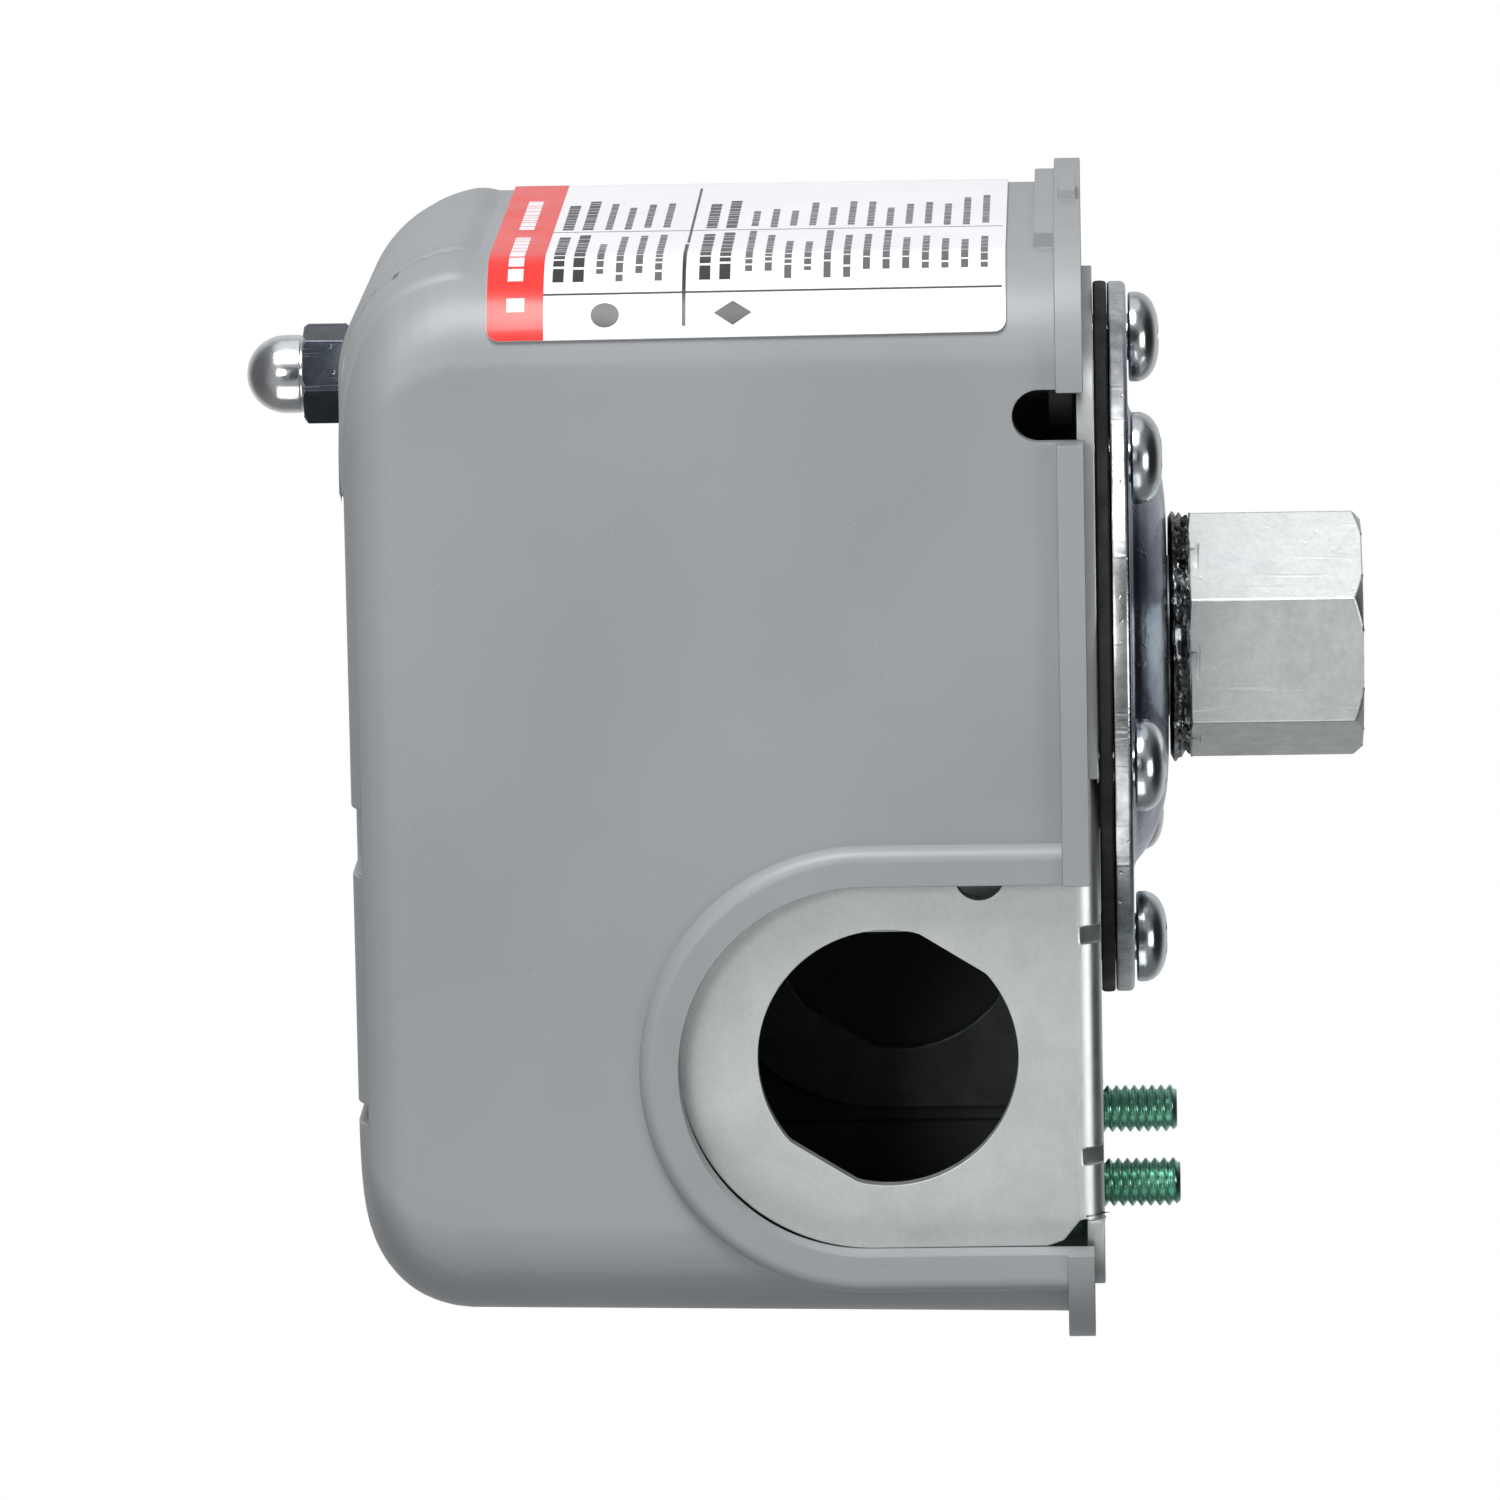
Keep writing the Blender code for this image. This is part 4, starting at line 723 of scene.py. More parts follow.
def build_base():
    ob = extruded("base_frame", round_rect(BASE_X0, BASE_X1, -BASE_Y, BASE_Y, 7.5), BASE_Z0, BASE_Z1, ZINC, plane='XY')
    outline = [(FLG_X1 + 7.0, BASE_Z0 + 0.1), (FLG_X1 + 7.0, 33.5), (FLG_X1 + 6.2, 35.9), (FLG_X1 + 4.0, 37.5), (FLG_XC + FLG_R, 37.8)]
    outline += [(FLG_XC + FLG_R * math.cos(math.pi * i / 60), FLG_AZ + FLG_R * math.sin(math.pi * i / 60)) for i in range(61)]
    outline += [(FLG_X0, 28.0), (FLG_X0 + 0.5, 26.6), (FLG_X0 + 2.2, BASE_Z1 + 0.6), (FLG_X0 + 2.6, BASE_Z0 + 0.1)]
    for side, lo, hi in (("front", -BASE_Y, -BASE_Y + FLG_T), ("back", BASE_Y - FLG_T, BASE_Y)):
        join(ob, extruded("flange_" + side, outline, lo, hi, cutter=True))
    for side, y in (("front", -13.5), ("back", 12.0)):
        join(ob, extruded("ear_" + side, [(-21.0, BASE_Z1 - 0.5), (-13.0, BASE_Z1 - 0.5), (-13.6, 35.5), (-14.1, 36.6), (-15.0, 37.3),
                                          (-19.0, 37.3), (-19.9, 36.6), (-20.4, 35.5)], y, y + 1.5, cutter=True))
    # rounded bends under both conduit flanges: inner fillet, then the outer arc
    for s in (-1, 1):
        yi = s * (BASE_Y - FLG_T)
        ri = BEND_R - FLG_T
        cy, cz = yi - s * ri, BASE_Z1 + ri
        fil = [(yi + s * 0.2, BASE_Z1 - 0.2), (yi + s * 0.2, cz)]
        fil += [(cy + s * ri * math.cos(math.radians(-90 * i / 8)), cz + ri * math.sin(math.radians(-90 * i / 8))) for i in range(9)]
        fil += [(cy, BASE_Z1 - 0.2)]
        join(ob, prism_x("bend_fillet_%d" % s, fil, FLG_X0 + 2.6, FLG_X1 + 6.9))
        yo = s * BASE_Y
        cy, cz = yo - s * BEND_R, BASE_Z0 + BEND_R
        arc = [(cy + s * BEND_R * math.cos(math.radians(-90 * i / 14)), cz + BEND_R * math.sin(math.radians(-90 * i / 14))) for i in range(15)]
        cutp = [(yo + s * 1.0, cz)] + arc + [(cy, BASE_Z0 - 1.0), (yo + s * 1.0, BASE_Z0 - 1.0)]
        cut(ob, prism_x("bend_round_%d" % s, cutp, FLG_X0 + 2.2, FLG_X1 + 7.3))
    cut(ob, extruded("base_conduit", conduit_outline(144), -BASE_Y - 3, BASE_Y + 3, cutter=True))
    cut(ob, cyl("base_pivot_hole", PIVOT_R + GAP, (PIVOT_X, PIVOT_Z), -15, 15, cutter=True, axis='Y', seg=16))
    bm = bmesh.new()
    for a in screw_azimuths():
        add_cyl(bm, SCREW_HOLE_R, screw_xy(a), BASE_Z0 - 2, BASE_Z1 + 2, seg=12)
    for y in (-15.6, 15.6):
        add_cyl(bm, 2.5, (-45.4, y), BASE_Z0 - 2, BASE_Z1 + 2, seg=12)
    add_cyl(bm, CONTROL_HOLE_R, (0, 0), BASE_Z0 - 2, BASE_Z1 + 2, seg=32)
    add_cyl(bm, 2.9, (STUD_X, 0), BASE_Z0 - 2, BASE_Z1 + 2, seg=20)
    add_cyl(bm, 2.2, (DIFF_X, DIFF_Y), BASE_Z0 - 2, BASE_Z1 + 2, seg=16)
    for s in (-1, 1):
        y = s * BASE_Y
        add_cyl(bm, 2.1, (-15.5, 33.4), min(y - s * 3, y + s * 3), max(y - s * 3, y + s * 3), axis='Y', seg=16)
    cut(ob, from_bm("base_holes", bm, cutter=True))
    # pressed gussets across both bends, seen from outside as small slanted flats
    bm = bmesh.new()
    for s in (-1, 1):
        for x in (-20.8, -40.05):
            made = add_box(bm, (-0.75, -3.0, -1.2), (0.75, 3.0, 0.0))
            rot = Matrix.Rotation(math.radians(45 * s), 4, 'X')
            at = Matrix.Translation(Vector((x, s * (BASE_Y - 0.94), BASE_Z0 + 0.94)) * MM)
            bmesh.ops.transform(bm, matrix=at @ rot, verts=made)
    cut(ob, from_bm("base_gussets", bm, cutter=True))
    bevel(ob, 0.13, 2, 40)
    return ob


def prism_x(name, outline, x0, x1):
    """Cutter with a YZ outline, drawn along X."""
    bm = bmesh.new()
    lo = [bm.verts.new((x0 * MM, y * MM, z * MM)) for y, z in outline]
    hi = [bm.verts.new((x1 * MM, y * MM, z * MM)) for y, z in outline]
    n = len(outline)
    for i in range(n):
        bm.faces.new((lo[i], lo[(i + 1) % n], hi[(i + 1) % n], hi[i]))
    bm.faces.new(lo[::-1])
    bm.faces.new(hi)
    return from_bm(name, bm, cutter=True)


def build_ground_screw(name, y):
    """Slotted washer-head earth screw with its thread standing through the base."""
    at = (-45.4, y)
    top = BASE_Z1 + GAP
    levels = [(16.5, 1.62)] + thread_levels(2.09, 0.42, 0.794, 16.52, top - 0.2, 0.45, 10, 0.8)
    levels += [(top, 2.0), (top, 4.25), (top + 0.12, 4.4), (top + 0.78, 4.4), (top + 0.9, 4.3), (top + 1.0, 3.62), (top + 2.6, 3.5),
               (top + 2.95, 3.3), (top + 3.1, 2.9)]
    ob = rod_mesh(name, at, levels, GREEN, 48)
    cut(ob, box(name + "_slot", (-50.5, y - 0.45, BASE_Z1 + 2.3), (-40.5, y + 0.45, BASE_Z1 + 5), cutter=True))
    return ob


# ---- cover ----------------------------------------------------------------------------
LABEL_Z0, LABEL_Z1 = 30.4, 74.2


def inset(z, top, r):
    d = z - (top - r)
    return 0.0 if d <= 0 else r - math.sqrt(max(r * r - d * d, 0.0))


def cover_section(z, off, n=14):
    """Plan outline of the cover at height z, offset inwards by off."""
    top = COV_Z1 - off
    f = min(max((z - COV_Z0) / (COV_Z1 - COV_Z0), 0.0), 1.0)
    x0 = COV_X0 + COV_DRAFT_X0 * f + off + inset(z, top, COV_R_LOW - off)
    x1 = COV_X1 - off - inset(z, top, COV_R_HIGH - off)
    y = COV_Y - COV_DRAFT_Y * f - off - inset(z, top, COV_R_SIDE - off)
    return round_rect(x0, x1, -y, y, COV_RC - off, n)


def cover_loft(name, off, z0, cutter=False, mat=None):
    top = COV_Z1 - off
    rise = set()
    for r in (COV_R_HIGH, COV_R_LOW, COV_R_SIDE):
        rise.update(round(r * (1 - math.sin(math.radians(a))), 3) for a in range(0, 91, 9))
    rise = sorted(rise, reverse=True)
    keep = [rise[0]]
    for h in rise[1:]:
        if keep[-1] - h > 0.06:
            keep.append(h)
    keep[-1] = 0.0
    levels = [z0] + [top - h for h in keep]
    bm = bmesh.new()
    loops = []
    for z in levels:
        loops.append([bm.verts.new((x * MM, y * MM, z * MM)) for x, y in cover_section(z, off)])
    n = len(loops[0])
    for lo, hi in zip(loops, loops[1:]):
        for i in range(n):
            bm.faces.new((lo[i], lo[(i + 1) % n], hi[(i + 1) % n], hi[i]))
    bm.faces.new(loops[0][::-1])
    bm.faces.new(loops[-1])
    return from_bm(name, bm, mat, cutter)


def band_outline(y, rise, n=30):
    """Side outline of a raised band, sliced at y: the cover's own section lifted by rise, flush at the label's edge."""
    pts = []
    z_low = LABEL_Z1 + 0.1
    samples = [(None, z_low + (COV_Z1 - COV_R_HIGH - z_low) * k / 4) for k in range(4)]
    samples += [(90.0 * i / n, None) for i in range(n + 1)]
    for a, z in samples:
        zn = z if a is None else COV_Z1 - COV_R_HIGH * (1 - math.sin(math.radians(a)))
        t = min(max((zn - z_low - 0.2) / 3.2, 0.0), 1.0)
        h = -0.12 + (rise + 0.12) * t * t * (3 - 2 * t)
        if a is not None:
            zn = COV_Z1 + h - (COV_R_HIGH + h) * (1 - math.sin(math.radians(a)))
        top = COV_Z1 + h
        f = min(max((zn - COV_Z0) / (COV_Z1 - COV_Z0), 0.0), 1.0)
        wall = COV_Y - COV_DRAFT_Y * f + h
        gap = min(max(wall - abs(y), 0.0), COV_R_SIDE + h)
        r = COV_R_SIDE + h
        zn = min(zn, top - r + math.sqrt(max(r * r - (r - gap) ** 2, 0.0)))
        half = wall - inset(zn, top, r)
        rc = COV_RC + h
        over = min(max(abs(y) - (half - rc), 0.0), rc)
        x = COV_X1 + h - inset(zn, top, COV_R_HIGH + h) - (rc - math.sqrt(max(rc * rc - over * over, 0.0)))
        pts.append((x, zn))
    return [(17.5, z_low)] + pts + [(17.5, pts[-1][1])]


def build_band(name, y, step, side=1.1, n=5):
    """Raised band whose two sides run out in soft S-shaped slopes."""
    steps = [(-y - side + side * k / n, k / n) for k in range(n)]
    m = 2 * int(y / 0.9)
    steps += [(-y + 2 * y * k / m, 1.0) for k in range(m + 1)]
    steps += [(y + side * k / n, 1.0 - k / n) for k in range(1, n + 1)]
    bm = bmesh.new()
    loops = []
    for yy, t in steps:
        h = -0.12 + (step + 0.12) * t * t * (3 - 2 * t)
        loops.append([bm.verts.new((x * MM, yy * MM, z * MM)) for x, z in band_outline(yy, h)])
    m = len(loops[0])
    for a, b in zip(loops, loops[1:]):
        for i in range(m):
            bm.faces.new((a[i], a[(i + 1) % m], b[(i + 1) % m], b[i]))
    bm.faces.new(loops[0][::-1])
    bm.faces.new(loops[-1])
    return from_bm(name, bm, cutter=True)


def build_rim():
    """Collar round the conduit opening: an arch whose outer side rises in one soft curve."""
    levels = [(1.6, 0.75)] + [(0.12 - (RIM_OUT + 0.12) * math.sin(math.radians(a)), 0.75 - 1.3 * (1 - math.cos(math.radians(a))))
                             for a in range(0, 91, 9)]
    bm = bmesh.new()
    loops = []
    for out, grow in levels:
        loops.append([bm.verts.new((x * MM, (-COV_Y + out) * MM, z * MM)) for x, z in arch(OPEN_XC, OPEN_ZC, RIM_R + grow, COV_Z0 - 2.5)])
    m = len(loops[0])
    for a, b in zip(loops, loops[1:]):
        for i in range(m):
            bm.faces.new((a[i], a[(i + 1) % m], b[(i + 1) % m], b[i]))
    bm.faces.new(loops[0][::-1])
    bm.faces.new(loops[-1])
    return from_bm("rim_front", bm, cutter=True)


def build_cover():
    ob = cover_loft("cover", 0.0, COV_Z0 - 4, mat=PLASTIC)
    join(ob, build_rim())
    cut(ob, box("cover_trim", (-80, -60, COV_Z0 - 20), (80, 60, COV_Z0), cutter=True))
    lip = extruded("cover_lip", round_rect(COV_X0 - LIP_OUT, COV_X1 + LIP_OUT, -COV_Y - LIP_OUT, COV_Y + LIP_OUT, COV_RC + 1.5),
                   COV_Z0, LIP_Z1, cutter=True, plane='XY')
    pad = box("lip_pad", (COV_X1 - 1.5, -22.0, COV_Z0 + 0.5), (COV_X1 + LIP_OUT - 0.6, 22.0, 28.0), cutter=True)
    # gate mark left on the lip's +X face
    nub = box("lip_nub", (COV_X1 + LIP_OUT - 0.5, -5.0, COV_Z0 + 0.4), (COV_X1 + LIP_OUT + 0.9, 3.0, LIP_Z1 - 0.4), cutter=True)
    join(ob, lip, pad, nub)
    for k, (y, st) in enumerate(((BAND1_Y, BAND_STEP), (BAND2_Y, 2 * BAND_STEP))):
        join(ob, build_band("roof_band_%d" % k, y, st * 1.25))
    cut(ob, cover_loft("cover_hollow", COV_T, COV_Z0 - 3, cutter=True))
    cut(ob, box("cover_pocket", (-49.2, 25.0, COV_Z0 - 3), (-6.5, BASE_Y + 0.35, 60.2), cutter=True))
    cut(ob, extruded("cover_opening", arch(OPEN_XC, OPEN_ZC, OPEN_R, COV_Z0 - 3), -COV_Y - 5, -COV_Y + 8, cutter=True))
    sx = (SLOT_X0 + SLOT_X1) / 2
    cut(ob, extruded("cover_slot", arch(sx, SLOT_Z1 - (SLOT_X1 - SLOT_X0) / 2, (SLOT_X1 - SLOT_X0) / 2, COV_Z0 - 3, 20),
                     -COV_Y - 5, COV_Y + 5, cutter=True))
    cut(ob, cyl("cover_stud_hole", STUD_R_HIGH + 0.5, (STUD_X, 0), COV_Z1 - 6, COV_Z1 + 6, cutter=True, seg=18))
    bm = bmesh.new()
    for s in (-1, 1):
        for lo, hi in (((-36.5, 30.9, 85.3), (17.5, 35.0, 91.0)), ((-15.0, 20.5, 85.9), (-9.2, 30.95, 91.0)),
                       ((-36.5, 20.5, 85.9), (-34.8, 30.95, 91.0))):
            ya, yb = sorted((s * lo[1], s * hi[1]))
            add_box(bm, (lo[0], ya, lo[2]), (hi[0], yb, hi[2]))
    cut(ob, from_bm("roof_cuts", bm, cutter=True))
    bevel(ob, 0.12, 2, 38)
    return ob


# ---- label ----------------------------------------------------------------------------
LABEL_S0, LABEL_S1 = -34.1, 30.2       # along the wall, zero at the middle of the +X wall
LABEL_OFF = 0.30


def label_point(s, z, out):
    """Point at distance s along the cover's outline from the middle of the +X wall."""
    f = (z - COV_Z0) / (COV_Z1 - COV_Z0)
    ys = COV_Y - COV_DRAFT_Y * f
    cx, cy = COV_X1 - COV_RC, ys - COV_RC
    r = COV_RC + out
    if abs(s) <= cy:
        return Vector((cx + r, s, z)) * MM
    a = (abs(s) - cy) / COV_RC
    sg = -1 if s < 0 else 1
    return Vector((cx + r * math.cos(a), sg * (cy + r * math.sin(a)), z)) * MM


def sheet_grid(name, s0, s1, z0, z1, lo, hi, mat, r=0.0, step=0.9, foot=1.0):
    """Closed thin sheet with rounded corners, following the wall round its corners."""
    n = max(1, int(math.ceil((s1 - s0) / step)))
    cols = [s0 + (s1 - s0) * i / n for i in range(n + 1)]
    if r:
        arc = [r * (1 - math.cos(math.radians(15 * k))) for k in range(7)]
        cols = sorted(set([round(s0 + a, 4) for a in arc] + [round(s1 - a, 4) for a in arc]
                          + [round(c, 4) for c in cols if s0 + r < c < s1 - r]))
    bm = bmesh.new()
    top, bot = [], []
    for s in cols:
        d = min(s - s0, s1 - s)
        cutin = r - math.sqrt(max(0.0, r * r - (r - d) ** 2)) if r and d < r else 0.0
        top.append([bm.verts.new(label_point(s, z, hi)) for z in (z0 + cutin * foot, z1 - cutin)])
        bot.append([bm.verts.new(label_point(s, z, lo)) for z in (z0 + cutin * foot, z1 - cutin)])
    for i in range(len(cols) - 1):
        bm.faces.new((top[i][0], top[i + 1][0], top[i + 1][1], top[i][1]))
        bm.faces.new((bot[i][0], bot[i][1], bot[i + 1][1], bot[i + 1][0]))
        bm.faces.new((top[i][0], bot[i][0], bot[i + 1][0], top[i + 1][0]))
        bm.faces.new((top[i][1], top[i + 1][1], bot[i + 1][1], bot[i][1]))
    for i in (0, -1):
        bm.faces.new((top[i][0], top[i][1], bot[i][1], bot[i][0]))
    return from_bm(name, bm, mat)


def many_sheets(name, rects, lo, hi, mat):
    """One object of several closed thin sheets, each given as (s0, s1, z0, z1)."""
    bm = bmesh.new()
    for k, (s0, s1, z0, z1) in enumerate(rects):
        one = sheet_grid("tmp", s0, s1, z0, z1, lo, hi, mat)
        me = one.data
        bm.from_mesh(me)
        bpy.data.objects.remove(one, do_unlink=True)
        bpy.data.meshes.remove(me)
    return from_bm(name, bm, mat)


def shape_sheet(name, s0, s1, half, z, lo, hi, mat, n=24):
    """Closed thin sheet between s0 and s1 whose height at each s is +-half(t), t from -1 to 1."""
    bm = bmesh.new()
    top, bot = [], []
    for i in range(n + 1):
        t = -math.cos(math.pi * i / n)
        s = (s0 + s1) / 2 + t * (s1 - s0) / 2
        h = max(half(t), 0.01)
        top.append([bm.verts.new(label_point(s, z + k * h, hi)) for k in (-1, 1)])
        bot.append([bm.verts.new(label_point(s, z + k * h, lo)) for k in (-1, 1)])
    for i in range(n):
        bm.faces.new((top[i][0], top[i + 1][0], top[i + 1][1], top[i][1]))
        bm.faces.new((bot[i][0], bot[i][1], bot[i + 1][1], bot[i + 1][0]))
        bm.faces.new((top[i][0], bot[i][0], bot[i + 1][0], top[i + 1][0]))
        bm.faces.new((top[i][1], top[i + 1][1], bot[i + 1][1], bot[i][1]))
    for i in (0, -1):
        bm.faces.new((top[i][0], top[i][1], bot[i][1], bot[i][0]))
    return from_bm(name, bm, mat)


def build_label():
    """White film round the +X wall, with a red band, rules and plain bars in place of print."""
    made = [sheet_grid("cover_label", LABEL_S0, LABEL_S1, LABEL_Z0, LABEL_Z1, 0.02, LABEL_OFF, LABEL, 1.0)]
    a, b = LABEL_OFF - 0.02, LABEL_OFF + 0.022
    made.append(sheet_grid("label_red_band", LABEL_S0 + 0.01, LABEL_S1 - 0.01, 69.4, LABEL_Z1 - 0.01, a, b, INK_RED, 1.0, foot=0.0))
    c, d = b - 0.02, b + 0.015
    bars = [(-31.6, -30.3, 71.0, 72.5)]
    for lo_s, hi_s in ((-28.4, -12.2), (-7.0, 12.5)):
        s = lo_s
        while s < hi_s:
            w = random.uniform(0.9, 2.6)
            bars.append((s, min(s + w, hi_s), 71.15, 72.45))
            s += w + 0.42
    made.append(many_sheets("label_white_bars", bars, c, d, LABEL))
    rules = [(-30.05, -29.87, LABEL_Z0 + 0.3, 69.4), (-9.08, -8.9, LABEL_Z0 + 0.3, 69.4), (-33.1, -18.0, 57.38, 57.7), (-17.0, 20.0, 57.38, 57.6)]
    made.append(many_sheets("label_rules", rules, a, b, INK_BLACK))
    heads, texts = [], []
    for lo_s, hi_s in ((-28.9, -9.9), (-7.9, 13.5)):
        for z in (68.2, 66.5, 55.8, 54.1):
            s, end = lo_s + 0.3, lo_s + random.uniform(0.66, 0.9) * (hi_s - lo_s)
            while s < end:
                w = random.uniform(0.8, 2.4)
                heads.append((s, min(s + w, hi_s), z - 0.47, z + 0.47))
                s += w + 0.42
        for z in [64.7 - 1.66 * k for k in range(4)] + [52.1 - 1.66 * k for k in range(13)]:
            s = lo_s + (0.3 if random.random() < 0.4 else 1.3)
            end = lo_s + random.uniform(0.5, 0.96) * (hi_s - lo_s)
            while s < end:
                w = random.uniform(0.5, 2.3)
                texts.append((s, min(s + w, hi_s), z - 0.3, z + 0.3))
                s += w + 0.34
    made.append(many_sheets("label_heading_bars", heads, a, b, INK_BLACK))
    made.append(many_sheets("label_text_bars", texts, a, b, INK_GREY))
    made.append(shape_sheet("label_mark_round", -33.1, -30.9, lambda t: 1.2 * math.sqrt(max(0.0, 1 - t * t)), 64.2, a, b, INK_BLACK))
    made.append(shape_sheet("label_mark_lozenge", -33.1, -30.9, lambda t: 1.6 * (1 - abs(t)), 53.4, a, b, INK_BLACK))
    return made


# ---- acorn nut and studs ---------------------------------------------------------------
def build_acorn():
    rc = hex_r(NUT_AF)
    at = (STUD_X, 0)
    z = NUT_Z0
    ob = cyl("acorn_nut", rc, at, NUT_Z0, NUT_Z0 + NUT_HEX_H, ACORN, seg=6, turn=NUT_TURN)
    boolean(ob, turned("acorn_chamfer", [(0, z + NUT_HEX_H + 0.3), (rc - 0.5, z + NUT_HEX_H + 0.1), (rc + 0.15, z + NUT_HEX_H - 0.5),
                                         (rc + 0.15, z + 0.45), (rc - 0.45, z - 0.02), (0, z - 0.02)], at, cutter=True, seg=32),
            'INTERSECT')
    r = 3.4
    c = z + NUT_H - r
    prof = [(r * math.sin(math.radians(a)), c + r * math.cos(math.radians(a))) for a in range(0, 91, 6)]
    prof[0] = (0, c + r)
    prof += [(r, z + NUT_HEX_H + 0.25), (r - 0.25, z + NUT_HEX_H + 0.05), (r - 0.3, z + NUT_HEX_H - 0.4), (0, z + NUT_HEX_H - 0.4)]
    join(ob, turned("acorn_dome", prof, at, cutter=True, seg=32))
    cut(ob, turned("acorn_bore", [(0, z + 6.2), (STUD_R_HIGH + 0.3, z + 5.6), (STUD_R_HIGH + 0.3, z - 1), (0, z - 1)], at, cutter=True, seg=14))
    bevel(ob, 0.07, 2, 36)
    return ob


def build_range_stud():
    levels = [(BASE_Z0 + 0.2, 2.5), (BASE_Z1 + GAP, 2.6), (BASE_Z1 + GAP, 5.3), (BASE_Z1 + GAP + 0.1, 5.4), (26.9, 5.4), (27.0, 5.3),
              (27.0, STUD_R_LOW), (50.0, STUD_R_LOW)]
    levels += thread_levels(STUD_R_LOW, 0.5, 1.27, 50.02, 78.2, 0.3, 10, 0.6)
    levels += [(78.3, STUD_R_HIGH)] + thread_levels(STUD_R_HIGH, 0.35, 0.907, 78.4, 92.0, 0.2, 8, 0.5) + [(92.3, 1.8), (92.6, 1.5)]
    return rod_mesh("range_stud", (STUD_X, 0), levels, ZINC, 40)


def build_diff_stud():
    levels = [(BASE_Z0 + 0.2, 1.8), (BASE_Z1 + GAP, 1.9), (BASE_Z1 + GAP, 3.6), (26.4, 3.6), (26.4, 1.95), (44.0, 1.95)]
    levels += thread_levels(1.95, 0.34, 0.794, 44.02, 65.5, 0.2, 8, 0.4) + [(65.8, 1.75), (66.0, 1.5)]
    return rod_mesh("differential_stud", (DIFF_X, DIFF_Y), levels, ZINC, 36)


def build_seat(name, at, r, boss, hole, z, h):
    """Turned spring seat: a disc with a boss that centres the spring."""
    prof = [(r - 0.1, z + 1.3), (r, z + 1.2), (r, z + 0.1), (r - 0.1, z), (boss, z), (boss - 0.3, z - h), (hole, z - h), (hole, z + 2.2),
            (hole + 1.5, z + 2.2), (hole + 1.6, z + 2.1), (hole + 2.4, z + 1.3)]
    return turned(name, prof, at, ZINC, seg=24, closed=True)


def build_hex_nut(name, at, af, z0, h, hole, turn):
    rc = hex_r(af)
    ob = cyl(name, rc, at, z0, z0 + h, ZINC_NUT, seg=6, turn=turn)
    boolean(ob, turned(name + "_chamfer", [(0, z0 + h + 0.02), (rc - 0.6, z0 + h + 0.02), (rc + 0.2, z0 + h - 0.55), (rc + 0.2, z0 + 0.55),
                                           (rc - 0.6, z0 - 0.02), (0, z0 - 0.02)], at, cutter=True, seg=32), 'INTERSECT')
    cut(ob, cyl(name + "_bore", hole, at, z0 - 2, z0 + h + 2, cutter=True, seg=20))
    bevel(ob, 0.1)
    return ob


# ---- lever, plunger and rod -------------------------------------------------------------
def build_plunger():
    return turned("plunger", [(0, LEV_Z0 - GAP), (3.4, LEV_Z0 - GAP), (3.8, LEV_Z0 - GAP - 0.2), (4.0, LEV_Z0 - GAP - 0.6), (4.0, 25.9),
                              (4.3, 25.6), (8.4, 25.6), (8.6, 25.4), (8.6, DIA_Z1 + GAP + 0.1), (8.5, DIA_Z1 + GAP), (0, DIA_Z1 + GAP)],
                  mat=BLACK, seg=32)


def build_lever():
    plan = [(-20.0, -11.0), (32.0, -11.0), (33.0, -10.0), (33.0, 10.0), (29.5, 14.0), (29.0, 22.5), (28.2, 24.6), (26.5, 25.5),
            (15.0, 25.5), (13.2, 24.8), (12.5, 23.0), (12.5, 11.0), (-20.0, 11.0)]
    ob = extruded("pressure_lever", plan, LEV_Z0, LEV_Z1, ZINC, plane='XY')
    side = [(-20.2, LEV_Z0 + 0.05), (11.0, LEV_Z0 + 0.05), (13.0, LEV_Z0 + 1.4), (9.0, 34.4), (-12.0, 37.0), (-19.2, 37.0), (-20.2, 36.0)]
    for tag, y in (("front", -11.0), ("back", 9.5)):
        join(ob, extruded("lever_rail_" + tag, side, y, y + 1.5, cutter=True))
    cut(ob, cyl("lever_pivot_hole", PIVOT_R + GAP, (PIVOT_X, PIVOT_Z), -16, 16, cutter=True, axis='Y', seg=16))
    bm = bmesh.new()
    add_cyl(bm, 4.6, (STUD_X, 0), 25, 40, seg=20)
    add_cyl(bm, 2.9, (DIFF_X, DIFF_Y), 25, 40, seg=16)
    cut(ob, from_bm("lever_holes", bm, cutter=True))
    bevel(ob, 0.14, 2, 40)
    return ob


# ---- contact gear -----------------------------------------------------------------------
def build_bracket():
    z = BLK_Z0 - GAP
    legs = [(-23.0, BASE_Z1 + GAP), (-23.0, BASE_Z1 + GAP + 1.5), (-16.0, BASE_Z1 + GAP + 1.5), (-16.0, z), (16.0, z),
            (16.0, BASE_Z1 + GAP + 1.5), (23.0, BASE_Z1 + GAP + 1.5), (23.0, BASE_Z1 + GAP), (14.5, BASE_Z1 + GAP),
            (14.5, z - 1.5), (-14.5, z - 1.5), (-14.5, BASE_Z1 + GAP)]
    ob = extruded("block_bracket", [(-y, zz) for y, zz in legs], -11.0, 11.0, ZINC, plane='XZ')
    ob.data.transform(Matrix.Rotation(math.pi / 2, 4, 'Z'))
    ob.data.transform(Matrix.Translation((-12.0 * MM, 0, 0)))
    cut(ob, box("bracket_window", (-21.0, -18.0, 30.0), (-3.0, 18.0, 44.5), cutter=True))
    for k, x in enumerate((-18.5, -7.5)):
        cut(ob, cyl("bracket_hole_%d" % k, 1.9, (x, 0), BLK_Z0 - 6, BLK_Z0 + 4, cutter=True, seg=16))
    bevel(ob, 0.2, 2, 40)
    return ob


TERMINAL_Y = (-18.4, -7.6, 7.6, 18.4)


